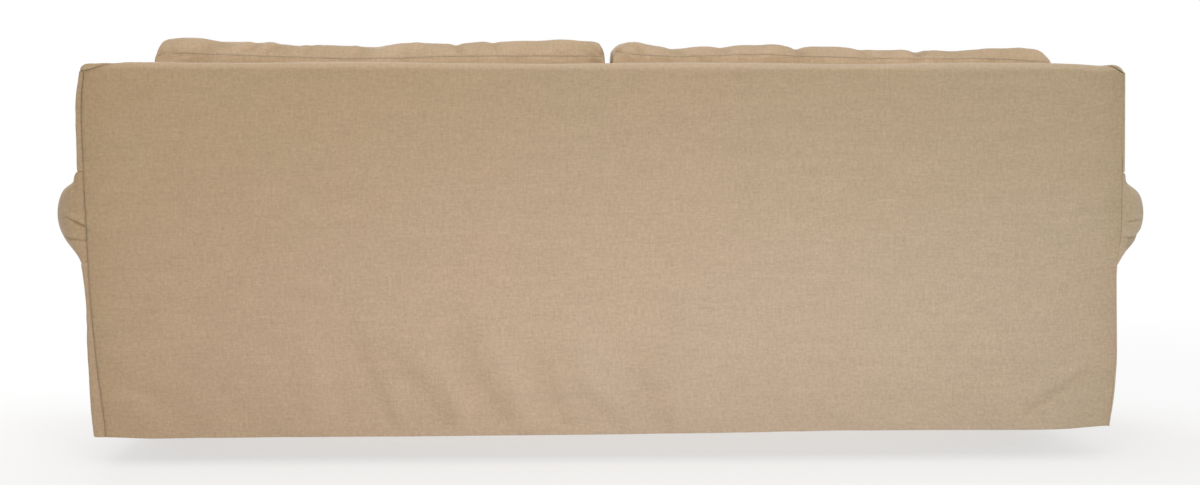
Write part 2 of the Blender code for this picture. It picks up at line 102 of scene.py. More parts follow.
# The hem's height above the floor along the outside back.
Hem = namedtuple("Hem", "x height")
HEMS = np.array([
    Hem(-1.160, 0.082), Hem(-1.100, 0.072), Hem(-1.000, 0.0690), Hem(-0.550, 0.0703),
    Hem(0.000, 0.0640), Hem(0.300, 0.0635), Hem(0.460, 0.0625), Hem(0.900, 0.0615),
    Hem(1.100, 0.0605), Hem(1.150, 0.068),
]).T
# How far the top's rear edge stands above its even height.
Rise = namedtuple("Rise", "x height")
RISES = np.array([
    Rise(-1.156, 0.0000), Rise(-1.146, 0.0020), Rise(-1.134, 0.0020), Rise(-1.124, 0.0004),
    Rise(-1.102, -0.0018), Rise(-1.080, -0.0006), Rise(-1.058, 0.0011), Rise(-1.040, 0.0016),
    Rise(-1.000, 0.0028), Rise(-0.500, 0.0024), Rise(0.000, 0.0024), Rise(1.050, 0.0021),
    Rise(1.083, 0.0013), Rise(1.104, 0.0000), Rise(1.127, 0.0010), Rise(1.140, 0.0033),
    Rise(1.155, 0.0035),
]).T

DOME = 2.2                  # exponent of the facing's curve in plan: 2 is an oval, more is fuller
# How much of its dome the facing loses below its upper seam, at what height and over what height.
PINCH_TOP = {"left": (0.44, 0.631, 0.013), "right": (0.60, 0.632, 0.018)}
# How much of it the facing loses at its lower seam, and over what length above that seam.
PINCH_LOW = {"left": (0.60, 0.068), "right": (0.70, 0.085)}
FACING_FINE = 0.0016        # distance from column to column over a facing's creases
FACING_FINE_END = 0.075     # length from its rear seam over which the columns are that near
FACING_LENGTH = 0.240       # nominal length of a facing's rows
# The middle of each arm's roll: its distance from the cover's middle, and its height.
Arm = namedtuple("Arm", "x z")
ARMS = {"left": Arm(1.129, 0.552), "right": Arm(1.142, 0.546)}
SIDES = {"left": 1, "right": -1}    # the sign of x on each side

# ---- cloth and sewing --------------------------------------------------------------------
HEM_DEPTH = 0.025           # cloth turned up inside a hem
HEM_TURN = 0.0006           # radius of the turn
HEM_STITCH = 0.021          # the hem's row of stitches, above its edge
HEM_WAVE = 0.0003           # height of the hem's small waves
STITCH_DIP = 0.0005         # how deep the cloth is drawn in along the stitches
HEM_STEPS = np.array([0.0, 0.0015, 0.0035])     # rows just above the hem's edge
# Distances of a grid's rows and columns from a sewn edge, before they become even.
EDGE_STEPS = np.array([0.0, 0.0007, 0.0015, 0.0025, 0.0040, 0.0062, 0.0095])
PUCKER_REACH = 0.022        # how far puckers run in from a seam
PUCKER_LENGTH = 0.034       # mean distance from pucker to pucker
# A painted highlight and pool of light: the linen is paler in an oval low on the back. Its middle and its
# half sizes, x and height.
HIGHLIGHT_MIDDLE = (-0.254, 0.233)
HIGHLIGHT_SIZE = (1.47, 0.54)
COOL_REACH = 1.1            # the linen's hue cools evenly from +x to -x within this distance
WAVES = 14                  # sine waves in a ripple
FOLD_STEPS = 22             # points along a fold's curve

# A fold runs from one end through a middle point to the other. Depth is out of the cloth for a
# ridge and into it for a trough; its width goes from width to width2. Places on the outside back
# are x and height.
Fold = namedtuple("Fold", "a1 b1 a2 b2 a3 b3 depth width width2")
BACK_FOLDS = [
    Fold(1.116, 0.108, 1.080, 0.088, 1.040, 0.074, -0.0026, 0.024, 0.016),
    Fold(0.995, 0.141, 0.945, 0.105, 0.890, 0.078, -0.0034, 0.026, 0.016),
    Fold(1.112, 0.168, 1.060, 0.148, 0.985, 0.122, 0.0039, 0.012, 0.012),
    Fold(1.112, 0.190, 1.070, 0.178, 1.010, 0.172, -0.0026, 0.012, 0.014),
    Fold(1.112, 0.258, 1.040, 0.262, 0.960, 0.250, 0.0023, 0.014, 0.020),
    Fold(0.860, 0.200, 0.835, 0.150, 0.800, 0.110, -0.0023, 0.018, 0.016),
    Fold(0.823, 0.118, 0.765, 0.090, 0.709, 0.072, -0.0034, 0.026, 0.015),
    Fold(0.700, 0.230, 0.690, 0.165, 0.672, 0.100, -0.0034, 0.016, 0.013),
    Fold(0.668, 0.330, 0.645, 0.240, 0.618, 0.120, 0.0043, 0.020, 0.018),
    Fold(0.575, 0.360, 0.540, 0.250, 0.485, 0.110, -0.0060, 0.018, 0.012),
    Fold(0.510, 0.200, 0.475, 0.150, 0.440, 0.095, 0.0034, 0.014, 0.012),
    Fold(0.490, 0.275, 0.430, 0.190, 0.350, 0.095, -0.0065, 0.018, 0.013),
    Fold(0.380, 0.310, 0.362, 0.215, 0.305, 0.095, 0.0060, 0.018, 0.014),
    Fold(0.460, 0.320, 0.435, 0.275, 0.400, 0.235, 0.0030, 0.022, 0.018),
    Fold(0.352, 0.300, 0.292, 0.210, 0.225, 0.100, -0.0073, 0.018, 0.013),
    Fold(0.312, 0.345, 0.305, 0.300, 0.296, 0.255, -0.0034, 0.014, 0.012),
    Fold(0.275, 0.340, 0.222, 0.230, 0.165, 0.100, 0.0056, 0.022, 0.018),
    Fold(0.165, 0.270, 0.132, 0.190, 0.090, 0.095, -0.0047, 0.016, 0.013),
    Fold(0.085, 0.230, 0.050, 0.155, -0.010, 0.100, -0.0047, 0.014, 0.013),
    Fold(0.062, 0.330, 0.045, 0.250, 0.035, 0.185, 0.0039, 0.020, 0.022),
    Fold(0.030, 0.185, -0.015, 0.150, -0.050, 0.100, 0.0039, 0.018, 0.016),
    Fold(0.000, 0.300, -0.005, 0.240, -0.020, 0.180, 0.0022, 0.030, 0.030),
    Fold(-0.070, 0.260, -0.095, 0.180, -0.130, 0.095, -0.0056, 0.016, 0.020),
    Fold(-0.135, 0.360, -0.142, 0.300, -0.120, 0.240, -0.0020, 0.010, 0.014),
    Fold(-0.140, 0.168, -0.175, 0.150, -0.235, 0.140, 0.0030, 0.014, 0.016),
    Fold(-0.274, 0.082, -0.345, 0.120, -0.405, 0.082, -0.0034, 0.022, 0.018),
    Fold(-0.395, 0.330, -0.375, 0.260, -0.360, 0.200, -0.0017, 0.016, 0.016),
    Fold(-0.540, 0.300, -0.535, 0.230, -0.530, 0.180, -0.0016, 0.012, 0.012),
    Fold(-0.619, 0.133, -0.545, 0.079, -0.489, 0.093, -0.0034, 0.024, 0.018),
    Fold(-0.845, 0.165, -0.805, 0.140, -0.760, 0.108, -0.0039, 0.010, 0.008),
    Fold(-1.130, 0.228, -1.050, 0.172, -0.960, 0.110, -0.0073, 0.009, 0.011),
    Fold(-1.100, 0.235, -1.020, 0.188, -0.930, 0.140, 0.0039, 0.016, 0.018),
    Fold(1.136, 0.793, 1.048, 0.808, 1.000, 0.832, -0.0040, 0.008, 0.012),
    Fold(-0.290, 0.878, -0.302, 0.872, -0.318, 0.864, -0.0013, 0.006, 0.008),
    Fold(-1.140, 0.712, -1.080, 0.716, -1.000, 0.722, 0.0012, 0.006, 0.008),
    Fold(-1.145, 0.596, -1.090, 0.598, -1.030, 0.602, 0.0016, 0.006, 0.008),
]
DRAG = 0.0009               # depth of the short wrinkles above the hem
DRAG_LENGTH = 0.040         # mean distance from one to the next
DRAG_REACH = 0.032          # how far they run up
FOLD_MARGIN = 0.03          # the folds fade out this near to the side seams
FOLD_SHADE = 6.0            # painted shade: how much lighter a ridge is than the cloth, for each metre of its height, and a trough darker
CUSHION_SHADE = 22.0        # the same for the creases of the back cushions
CREASE_SHADE = 30.0         # the same for the fine creases behind the arms
PAINTED_FACING_SHADE = 0.05             # painted shade: how much darker the facings behind the arms are than the back
PAINTED_SIDE_SHADE = 0.10            # painted shade: how much darker the outside back is at its side seams
PAINTED_SIDE_SHADE_REACH = 0.045     # how far in from them the painted shade reaches
PAINTED_TOP_HIGHLIGHT = 0.22             # painted light and highlight: how much lighter the outside back is along its top edge, where it faces up
# Places on the rear facings: the distance from the middle, and height.
REAR_FACING_FOLDS = {
    "left": [
        Fold(1.190, 0.5545, 1.172, 0.5450, 1.146, 0.5325, -0.0078, 0.0038, 0.0028),
        Fold(1.192, 0.5640, 1.174, 0.5540, 1.150, 0.5420, 0.0026, 0.0060, 0.0050),
        Fold(1.204, 0.5210, 1.190, 0.5070, 1.146, 0.5010, -0.0046, 0.0028, 0.0024),
        Fold(1.202, 0.5270, 1.184, 0.5150, 1.152, 0.5090, 0.0014, 0.0050, 0.0050),
        Fold(1.172, 0.4580, 1.160, 0.4300, 1.154, 0.4110, 0.0012, 0.0050, 0.0040),
        Fold(1.160, 0.6360, 1.158, 0.6250, 1.166, 0.6120, -0.0024, 0.0040, 0.0030),
    ],
    "right": [
        Fold(1.216, 0.5440, 1.200, 0.5410, 1.156, 0.5370, -0.0042, 0.0030, 0.0026),
        Fold(1.208, 0.5500, 1.190, 0.5470, 1.160, 0.5440, 0.0014, 0.0050, 0.0050),
        Fold(1.158, 0.5060, 1.188, 0.5015, 1.214, 0.5110, -0.0082, 0.0028, 0.0038),
        Fold(1.206, 0.5160, 1.190, 0.5095, 1.162, 0.5120, 0.0018, 0.0050, 0.0050),
        Fold(1.193, 0.4990, 1.187, 0.4890, 1.178, 0.4760, -0.0044, 0.0026, 0.0024),
        Fold(1.188, 0.5010, 1.181, 0.4890, 1.1725, 0.4740, -0.0044, 0.0026, 0.0024),
        Fold(1.181, 0.5010, 1.175, 0.4930, 1.1675, 0.4830, -0.0036, 0.0026, 0.0024),
        Fold(1.166, 0.4600, 1.160, 0.4540, 1.156, 0.4480, 0.0014, 0.0050, 0.0050),
        Fold(1.206, 0.5700, 1.204, 0.5620, 1.208, 0.5560, -0.0016, 0.0036, 0.0036),
    ],
}
# Places on the outside arms: y and height.
OUTSIDE_FOLDS = [
    Fold(-0.06, 0.430, -0.16, 0.330, -0.30, 0.200, -0.0030, 0.030, 0.040),
    Fold(-0.12, 0.440, -0.20, 0.380, -0.34, 0.300, 0.0024, 0.030, 0.040),
    Fold(-0.86, 0.432, -0.78, 0.330, -0.66, 0.190, -0.0036, 0.026, 0.040),
    Fold(-0.80, 0.438, -0.70, 0.370, -0.56, 0.280, 0.0026, 0.028, 0.038),
    Fold(-0.50, 0.250, -0.47, 0.150, -0.50, 0.070, -0.0040, 0.034, 0.022),
    Fold(-0.26, 0.210, -0.22, 0.130, -0.24, 0.070, -0.0036, 0.030, 0.020),
    Fold(-0.72, 0.200, -0.70, 0.130, -0.72, 0.068, -0.0032, 0.028, 0.018),
    Fold(-0.38, 0.180, -0.36, 0.120, -0.38, 0.070, 0.0030, 0.030, 0.024),
    Fold(-0.60, 0.170, -0.61, 0.120, -0.60, 0.070, 0.0028, 0.030, 0.024),
]
# Places on the inside arm: y, and the distance along the cloth from the deck up and over.
ARM_FOLDS = [
    Fold(-0.86, 0.300, -0.72, 0.330, -0.56, 0.300, -0.0026, 0.014, 0.020),
    Fold(-0.85, 0.400, -0.74, 0.420, -0.62, 0.470, -0.0030, 0.016, 0.022),
    Fold(-0.86, 0.500, -0.76, 0.480, -0.66, 0.520, 0.0024, 0.018, 0.022),
    Fold(-0.24, 0.420, -0.34, 0.440, -0.46, 0.500, -0.0030, 0.018, 0.026),
    Fold(-0.22, 0.540, -0.33, 0.560, -0.47, 0.560, -0.0034, 0.018, 0.026),
    Fold(-0.24, 0.480, -0.36, 0.500, -0.50, 0.520, 0.0022, 0.020, 0.026),
    Fold(-0.87, 0.600, -0.78, 0.610, -0.68, 0.640, -0.0030, 0.014, 0.020),
    Fold(-0.60, 0.640, -0.56, 0.560, -0.50, 0.480, -0.0018, 0.020, 0.030),
]
# Places on the front facings: the distance from the middle, and height.
FRONT_FACING_FOLDS = [
    Fold(1.135, 0.440, 1.110, 0.400, 1.080, 0.300, -0.0024, 0.012, 0.020),
    Fold(1.140, 0.470, 1.128, 0.500, 1.132, 0.540, -0.0016, 0.010, 0.016),
    Fold(1.060, 0.200, 1.085, 0.150, 1.080, 0.080, -0.0026, 0.016, 0.014),
    Fold(1.105, 0.230, 1.110, 0.160, 1.108, 0.080, 0.0022, 0.018, 0.016),
]
# Places on the border: x and height.
BORDER_FOLDS = [
    Fold(0.940, 0.270, 0.900, 0.180, 0.910, 0.070, -0.0034, 0.020, 0.016),
    Fold(0.520, 0.180, 0.500, 0.120, 0.520, 0.066, -0.0034, 0.028, 0.018),
    Fold(0.240, 0.150, 0.260, 0.110, 0.250, 0.066, 0.0030, 0.028, 0.020),
    Fold(-0.060, 0.200, -0.020, 0.120, -0.050, 0.066, -0.0036, 0.030, 0.018),
    Fold(-0.420, 0.160, -0.400, 0.110, -0.430, 0.066, -0.0030, 0.026, 0.018),
    Fold(-0.700, 0.190, -0.720, 0.120, -0.690, 0.066, 0.0030, 0.030, 0.020),
    Fold(-0.930, 0.260, -0.900, 0.180, -0.920, 0.070, -0.0034, 0.020, 0.016),
]

# ---- cushions ----------------------------------------------------------------------------
SEAT_GAP = 0.0005           # clearance of a cushion to what carries it
CLOTH = 0.002               # cloth of the CAD panels, under the cushions
SEAT_HEIGHT = 0.165         # height of a seat cushion's boxing
SEAT_CROWN = 0.020          # how far its top may rise above that
SEAT_REAR = -0.212          # y of its rear and front faces
SEAT_FRONT = -0.904
SEAT_INNER = 0.003          # distance of its two ends from the middle
SEAT_OUTER = 1.018
CUSHION_SEAM = 0.917        # nominal height of a back cushion's upper rear seam
CUSHION_BOXING = 0.150      # width of its boxing
SEAM_ROOM = 0.003           # how much shorter a form is at each end before it is filled
SWELL_ROOM = 0.004          # how much thinner it is on each face
# Distance of each back cushion's inner and outer end from the middle, and the radii of the
# corners of its face at those ends.
BACK_SPANS = {"left": (-0.0105, 1.018), "right": (0.016, 1.047)}
BACK_ROUNDS = {"left": (0.030, 0.025), "right": (0.036, 0.038)}
SEAT_ROUND = 0.026          # radius of a seat cushion's corners, in its face
FRONT_DROP = 0.55           # share of its lean's height that a back cushion's front edge has lost
SIM_FRAMES = 20             # frames over which a form is filled
RIM_ROLL = 0.016            # how far a back cushion's rear rim rolls forward
RIM_FROM = 0.868            # height where that roll begins
CROWN_RUN = 0.8             # share of half the boxing over which its rear climbs to the crown
CROWN_FROM = 0.886          # height on the rear rim where the crown's rise begins
CROWN_FADE = 0.010          # height over which it comes in
RIM_DIP = 1.1               # depth of a cushion's seams, as a share of the settings' seam depth
CREASE_GAIN = 1.6           # how much deeper its creases are than their table says
BACK_COUNTS = (96, 14, 44)  # steps of a back cushion's form along its length, boxing and height
SEAT_COUNTS = (84, 14, 58)  # the same for a seat cushion: length, boxing and depth
# Waves on the cushions: how high they are and how long, and how far from a rim they reach.
Waves = namedtuple("Waves", "height length reach")
BACK_DRAG = Waves(0.0013, 0.060, 0.040)
BACK_SLOW = Waves(0.0016, 0.240, None)
BACK_PUCKER = Waves(0.0010, 0.024, 0.014)
BACK_UNEVEN = Waves(0.0012, 0.075, None)
SEAT_DRAG = Waves(0.0012, 0.070, 0.040)
SEAT_SLOW = Waves(0.0016, 0.280, None)

# Height of each back cushion's rear seam and of its crown, along its length.
Line = namedtuple("Line", "x seam crown")
BACK_CUSHION_LINES = {
    "left": np.array([
        Line(-0.0105, 0.9050, 0.8970), Line(-0.0080, 0.9090, 0.9127), Line(-0.0057, 0.9108, 0.9206),
        Line(-0.0034, 0.9118, 0.9279), Line(-0.0012, 0.9126, 0.9332), Line(0.0011, 0.9132, 0.9368),
        Line(0.0034, 0.9136, 0.9407), Line(0.0057, 0.9139, 0.9446), Line(0.008, 0.9140, 0.9466),
        Line(0.0125, 0.9141, 0.9482), Line(0.0171, 0.9140, 0.9496), Line(0.0262, 0.9138, 0.9507),
        Line(0.057, 0.9130, 0.9517), Line(0.106, 0.9128, 0.9535),
        Line(0.159, 0.9128, 0.9509), Line(0.232, 0.9128, 0.9483), Line(0.251, 0.9127, 0.9455),
        Line(0.271, 0.9127, 0.9482), Line(0.320, 0.9122, 0.9443), Line(0.335, 0.9118, 0.9400),
        Line(0.350, 0.9114, 0.9435), Line(0.424, 0.9092, 0.9458), Line(0.473, 0.9066, 0.9415),
        Line(0.508, 0.9064, 0.9359), Line(0.560, 0.9064, 0.9378), Line(0.600, 0.9065, 0.9380),
        Line(0.653, 0.9076, 0.9405), Line(0.695, 0.9096, 0.9383), Line(0.760, 0.9115, 0.9461),
        Line(0.795, 0.9124, 0.9443), Line(0.843, 0.9139, 0.9477), Line(0.871, 0.9150, 0.9483),
        Line(0.902, 0.9168, 0.9525), Line(0.930, 0.9178, 0.9545), Line(0.961, 0.9178, 0.9562),
        Line(0.979, 0.9181, 0.9551), Line(0.9906, 0.9178, 0.9531), Line(0.9975, 0.9166, 0.9506),
        Line(1.002, 0.9154, 0.9476), Line(1.0055, 0.9147, 0.9440), Line(1.0089, 0.9139, 0.9383),
        Line(1.0112, 0.9134, 0.9330), Line(1.0134, 0.9128, 0.9280), Line(1.0157, 0.9118, 0.9223),
        Line(1.018, 0.9100, 0.9080),
    ]).T,
    "right": np.array([
        Line(0.016, 0.9180, 0.8930), Line(0.0205, 0.9220, 0.9080), Line(0.0217, 0.9235, 0.9170),
        Line(0.0226, 0.9246, 0.9270), Line(0.0248, 0.9257, 0.9301), Line(0.0271, 0.9262, 0.9331),
        Line(0.0294, 0.9262, 0.9356), Line(0.0317, 0.9257, 0.9374), Line(0.0363, 0.9242, 0.9406),
        Line(0.0408, 0.9228, 0.9429), Line(0.0454, 0.9215, 0.9438), Line(0.0522, 0.9200, 0.9456),
        Line(0.0613, 0.9187, 0.9475), Line(0.0727, 0.9176, 0.9479), Line(0.0864, 0.9167, 0.9470),
        Line(0.0955, 0.9160, 0.9452),
        Line(0.114, 0.9146, 0.9425), Line(0.160, 0.9132, 0.9332), Line(0.206, 0.9136, 0.9357),
        Line(0.248, 0.9142, 0.9379), Line(0.274, 0.9154, 0.9359), Line(0.301, 0.9168, 0.9398),
        Line(0.382, 0.9178, 0.9434), Line(0.417, 0.9162, 0.9421), Line(0.435, 0.9152, 0.9393),
        Line(0.451, 0.9146, 0.9317), Line(0.467, 0.9142, 0.9377), Line(0.488, 0.9136, 0.9395),
        Line(0.548, 0.9118, 0.9374), Line(0.588, 0.9096, 0.9316), Line(0.645, 0.9086, 0.9310),
        Line(0.713, 0.9080, 0.9304), Line(0.732, 0.9080, 0.9259), Line(0.752, 0.9081, 0.9312),
        Line(0.819, 0.9090, 0.9296), Line(0.862, 0.9100, 0.9325), Line(0.933, 0.9082, 0.9361),
        Line(0.969, 0.9052, 0.9372), Line(0.9914, 0.9039, 0.9342), Line(1.003, 0.9030, 0.9333),
        Line(1.0123, 0.9020, 0.9309), Line(1.0216, 0.9003, 0.9261), Line(1.0285, 0.8985, 0.9198),
        Line(1.0343, 0.8965, 0.9122), Line(1.040, 0.8940, 0.9038), Line(1.047, 0.8900, 0.8900),
    ]).T,
}
# Creases on the back cushions' rear rims: places are the distance from the middle, and height.
BACK_CUSHION_FOLDS = {
    "left": [
        Fold(0.848, 0.9180, 0.826, 0.9300, 0.802, 0.9400, 0.0018, 0.0060, 0.0060),
        Fold(0.834, 0.9160, 0.812, 0.9260, 0.790, 0.9370, -0.0022, 0.0050, 0.0050),
        Fold(0.792, 0.9180, 0.774, 0.9310, 0.752, 0.9420, 0.0026, 0.0060, 0.0070),
        Fold(0.778, 0.9160, 0.758, 0.9280, 0.738, 0.9380, -0.0026, 0.0060, 0.0060),
        Fold(0.706, 0.9140, 0.692, 0.9250, 0.680, 0.9340, 0.0018, 0.0060, 0.0060),
        Fold(0.690, 0.9120, 0.676, 0.9220, 0.664, 0.9320, -0.0018, 0.0060, 0.0060),
        Fold(0.576, 0.9120, 0.569, 0.9240, 0.564, 0.9360, 0.0018, 0.0060, 0.0060),
        Fold(0.556, 0.9100, 0.551, 0.9210, 0.548, 0.9320, -0.0016, 0.0060, 0.0060),
        Fold(0.524, 0.9160, 0.512, 0.9240, 0.500, 0.9310, 0.0018, 0.0060, 0.0060),
        Fold(0.436, 0.9160, 0.428, 0.9280, 0.424, 0.9380, 0.0014, 0.0070, 0.0070),
        Fold(0.337, 0.9420, 0.330, 0.9300, 0.322, 0.9180, -0.0032, 0.0050, 0.0040),
        Fold(0.252, 0.9450, 0.248, 0.9350, 0.242, 0.9200, -0.0022, 0.0050, 0.0040),
        Fold(0.048, 0.9320, 0.028, 0.9200, 0.006, 0.9160, -0.0052, 0.0052, 0.0040),
        Fold(0.030, 0.9400, 0.016, 0.9300, 0.004, 0.9240, -0.0036, 0.0040, 0.0040),
        Fold(0.052, 0.9060, 0.030, 0.9040, 0.006, 0.9000, -0.0036, 0.0050, 0.0050),
        Fold(1.012, 0.9120, 0.994, 0.9200, 0.970, 0.9250, -0.0032, 0.0050, 0.0040),
        Fold(1.010, 0.9000, 0.990, 0.9080, 0.960, 0.9130, -0.0028, 0.0060, 0.0050),
    ],
    "right": [
        Fold(0.030, 0.9180, 0.032, 0.9260, 0.044, 0.9240, -0.0048, 0.0032, 0.0030),
        Fold(0.070, 0.9400, 0.080, 0.9310, 0.090, 0.9230, -0.0028, 0.0050, 0.0040),
        Fold(0.094, 0.9360, 0.104, 0.9290, 0.118, 0.9220, 0.0020, 0.0060, 0.0060),
        Fold(0.160, 0.9340, 0.168, 0.9250, 0.180, 0.9180, -0.0024, 0.0060, 0.0060),
        Fold(0.195, 0.9120, 0.215, 0.9060, 0.240, 0.9000, -0.0018, 0.0060, 0.0060),
        Fold(0.274, 0.9370, 0.280, 0.9280, 0.290, 0.9200, -0.0018, 0.0060, 0.0060),
        Fold(0.450, 0.9400, 0.453, 0.9290, 0.460, 0.9200, -0.0040, 0.0060, 0.0050),
        Fold(0.590, 0.9340, 0.600, 0.9240, 0.612, 0.9140, -0.0022, 0.0070, 0.0070),
        Fold(0.612, 0.9330, 0.622, 0.9230, 0.632, 0.9150, 0.0018, 0.0070, 0.0070),
        Fold(0.712, 0.9300, 0.731, 0.9220, 0.752, 0.9300, -0.0036, 0.0050, 0.0050),
        Fold(0.690, 0.9290, 0.700, 0.9200, 0.712, 0.9120, 0.0014, 0.0070, 0.0060),
        Fold(0.870, 0.9310, 0.876, 0.9200, 0.886, 0.9120, -0.0016, 0.0070, 0.0060),
        Fold(0.955, 0.9060, 0.985, 0.9000, 1.016, 0.9060, -0.0022, 0.0060, 0.0060),
    ],
}


# ---- settings a user would change --------------------------------------------------------
class SlipcoverSettings(PropertyGroup):
    """Sizes, colours and lights of the cover."""
    cloth: FloatProperty(
        name="Cloth", description="Thickness of the cloth", default=0.0016, unit="LENGTH")
    seam_depth: FloatProperty(
        name="Seam depth", description="How deep the cloth dips into a seam", default=0.0011, unit="LENGTH")
    pucker: FloatProperty(
        name="Puckers", description="Depth of the puckers along a seam", default=0.0006, unit="LENGTH")
    ripple: FloatProperty(
        name="Ripple", description="Slow unevenness of a panel", default=0.0008, unit="LENGTH")
    pitch: FloatProperty(
        name="Thread pitch", description="Distance from thread to thread", default=0.0012, unit="LENGTH")
    slub: FloatProperty(
        name="Slub", description="How much the threads differ in lightness", default=0.42, subtype="FACTOR")
    cover_colour: FloatVectorProperty(
        name="Cover", description="Colour of the cover's linen", default=(0.335, 0.245, 0.142),
        subtype="COLOR")
    cushion_colour: FloatVectorProperty(
        name="Cushions", description="Colour of the cushions' linen", default=(0.472, 0.337, 0.200),
        subtype="COLOR")
    pressure: FloatProperty(
        name="Filling", description="Pressure that fills the cushions", default=4.0, min=0.0)
    swell: FloatProperty(
        name="Swell", description="How far a point of a cushion may move as it fills", default=0.026,
        unit="LENGTH")
    high_light: FloatProperty(
        name="High light", description="Power of the light above and behind the back", default=37.5,
        unit="POWER")
    key_light: FloatProperty(
        name="Key light", description="Power of the light beside the camera", default=62.0, unit="POWER")
    top_light: FloatProperty(
        name="Top light", description="Power of the soft light overhead", default=20.0, unit="POWER")
    side_light: FloatProperty(
        name="Side lights", description="Power of each light beyond an arm", default=12.0, unit="POWER")
    front_light: FloatProperty(
        name="Front light", description="Power of the soft light before the seat", default=90.0,
        unit="POWER")
    sky: FloatProperty(
        name="Room light", description="Strength of the even light from all round", default=0.57, min=0.0)
    lens: FloatProperty(
        name="Lens", description="Focal length of the camera", default=61.38, unit="CAMERA")


def settings():
    """The scene's slipcover settings."""
    return bpy.context.scene.slipcover


# ---- curves, ripples and folds -----------------------------------------------------------
def eased(at, places, values, reach=EDGE_REACH):
    """A line through a table with its corners rounded: the mean of five readings within reach."""
    return sum(np.interp(at + reach * step, places, values) for step in (-1.0, -0.5, 0.0, 0.5, 1.0)) / 5


def smooth(share):
    """A soft step from 0 to 1: 3 t squared less 2 t cubed."""
    share = np.clip(share, 0.0, 1.0)
    return share * share * (3.0 - 2.0 * share)


def spread(length, spacing, start=True, end=True):
    """Shares from 0 to 1 along a length: fine steps beside a sewn end, and even ones between."""
    head = EDGE_STEPS if start else np.zeros(1)
    tail = length - (EDGE_STEPS[::-1] if end else np.zeros(1))
    inner = np.linspace(head[-1], tail[0], max(2, round((tail[0] - head[-1]) / spacing) + 1))
    return np.concatenate([head, inner[1:-1], tail]) / length


def ripple(a, b, size, seed):
    """Slow unevenness with a mean height of about 1: sine waves in random directions, added up."""
    chance = np.random.default_rng(seed)
    total = 0.0
    for _ in range(WAVES):
        turn, phase = chance.uniform(0.0, 2.0 * math.pi, 2)
        length = size * chance.uniform(0.7, 1.7)
        along = a * math.cos(turn) + b * math.sin(turn)
        total = total + np.sin(2.0 * math.pi * along / length + phase)
    return total / math.sqrt(WAVES / 2.0)


def fold_height(folds, a, b):
    """Height of the folds: each is a bell across the distance to its curve, faded at its ends.

    The curve is the parabola through the fold's three points.
    """
    total = np.zeros(np.shape(a))
    step = np.linspace(0.0, 1.0, FOLD_STEPS)
    for fold in folds:
        middle_a = 2.0 * fold.a2 - (fold.a1 + fold.a3) / 2.0
        middle_b = 2.0 * fold.b2 - (fold.b1 + fold.b3) / 2.0
        curve_a = (1 - step) ** 2 * fold.a1 + 2 * step * (1 - step) * middle_a + step ** 2 * fold.a3
        curve_b = (1 - step) ** 2 * fold.b1 + 2 * step * (1 - step) * middle_b + step ** 2 * fold.b3
        width = fold.width + (fold.width2 - fold.width) * step
        fade = np.sin(math.pi * (0.05 + 0.60 * step))
        distance = np.hypot(a[..., None] - curve_a, b[..., None] - curve_b)
        bell = fade * np.exp(-0.5 * (distance / width) ** 2)
        total += fold.depth * bell.max(axis=-1)
    return total


# ---- the sofa's form ---------------------------------------------------------------------
def half_width(side, z):
    """Half width of the back on one side at height z, under the cloth."""
    return eased(z, EDGES[0], EDGES[1 if side == "left" else 2])


def seam_x(side, z):
    """Distance from the middle to the vertical seam on the rear face."""
    if side == "left":
        return eased(z, EDGES[0], EDGES[3])
    return half_width(side, z) - SEAM_PULL_RIGHT


def rear_y(z):
    """The outside back: it leans back towards its top, by a power curve of the height."""
    return REAR_TOP - REAR_RAKE * np.clip(1.0 - z / (TOP - REAR_ROUND), 0.0, 1.0) ** 1.2


def inner_y(z):
    """The inside back: a plane that slopes forward towards the deck."""
    return FRONT_TOP - FRONT_SLOPE * (TOP - FRONT_ROUND - z)


def rear_profile(distance):
    """y and z at a distance along the cloth from the top face: a quarter round, then down."""
    arc = REAR_ROUND * math.pi / 2
    angle = np.minimum(distance / REAR_ROUND, math.pi / 2)
    z = TOP - REAR_ROUND + REAR_ROUND * np.cos(angle) - np.maximum(distance - arc, 0.0)
    over_edge = REAR_TOP - REAR_ROUND + REAR_ROUND * np.sin(angle)
    return np.where(distance < arc, over_edge, rear_y(z)), z


def raised(points):
    """Lift the points near the top by the rise of the top's rear edge."""
    x, z = points[..., 0], points[..., 2] + TOP
    rise = eased(x, RISES[0], RISES[1], 0.010) * smooth((z - TOP + 0.03) / 0.03)
    return points + rise[..., None] * np.array([0.0, 0.0, 1.0])


def top_seam(x):
    """Distance along the rear profile to the top seam, which drops slowly at the left end and
    within a few centimetres at the right one.
    """
    share = np.clip((x - CORNER_SEAM_FROM) / (seam_x("left", TOP) - CORNER_SEAM_FROM), 0.0, 1.0)
    share = np.maximum(share, np.clip(1.0 - (seam_x("right", TOP) + x) / CORNER_SEAM_RIGHT, 0.0, 1.0))
    corner_seam = REAR_ROUND * math.pi / 2 + TOP_CORNER - REAR_ROUND
    return TOP_SEAM + (corner_seam - TOP_SEAM) * share ** 1.5


def corner_only(points, row):
    """Distance from the top seam, given by its row, near the left corner; far away elsewhere."""
    _, v = lengths(points)
    hidden = 1.0 - smooth((points[..., 0] - CORNER_SEAM_FROM) / 0.03)
    return np.abs(v[row] - v) + 0.3 * hidden


def hem_height(x):
    """Height of the hem along the outside back."""
    return eased(x, HEMS[0], HEMS[1], 0.06)


def roll_section(arm, angle):
    """x and z on the roll's oval section; angle 0 is its outermost line, 90 degrees its top."""
    return arm.x + ARM_WIDTH * np.cos(angle), arm.z + ARM_RISE * np.sin(angle)


def roll_top_angle(side):
    """Angle on the roll's section where the back's side comes down onto it."""
    arm = ARMS[side]
    return math.acos((half_width(side, arm.z + ARM_RISE) - arm.x) / ARM_WIDTH)


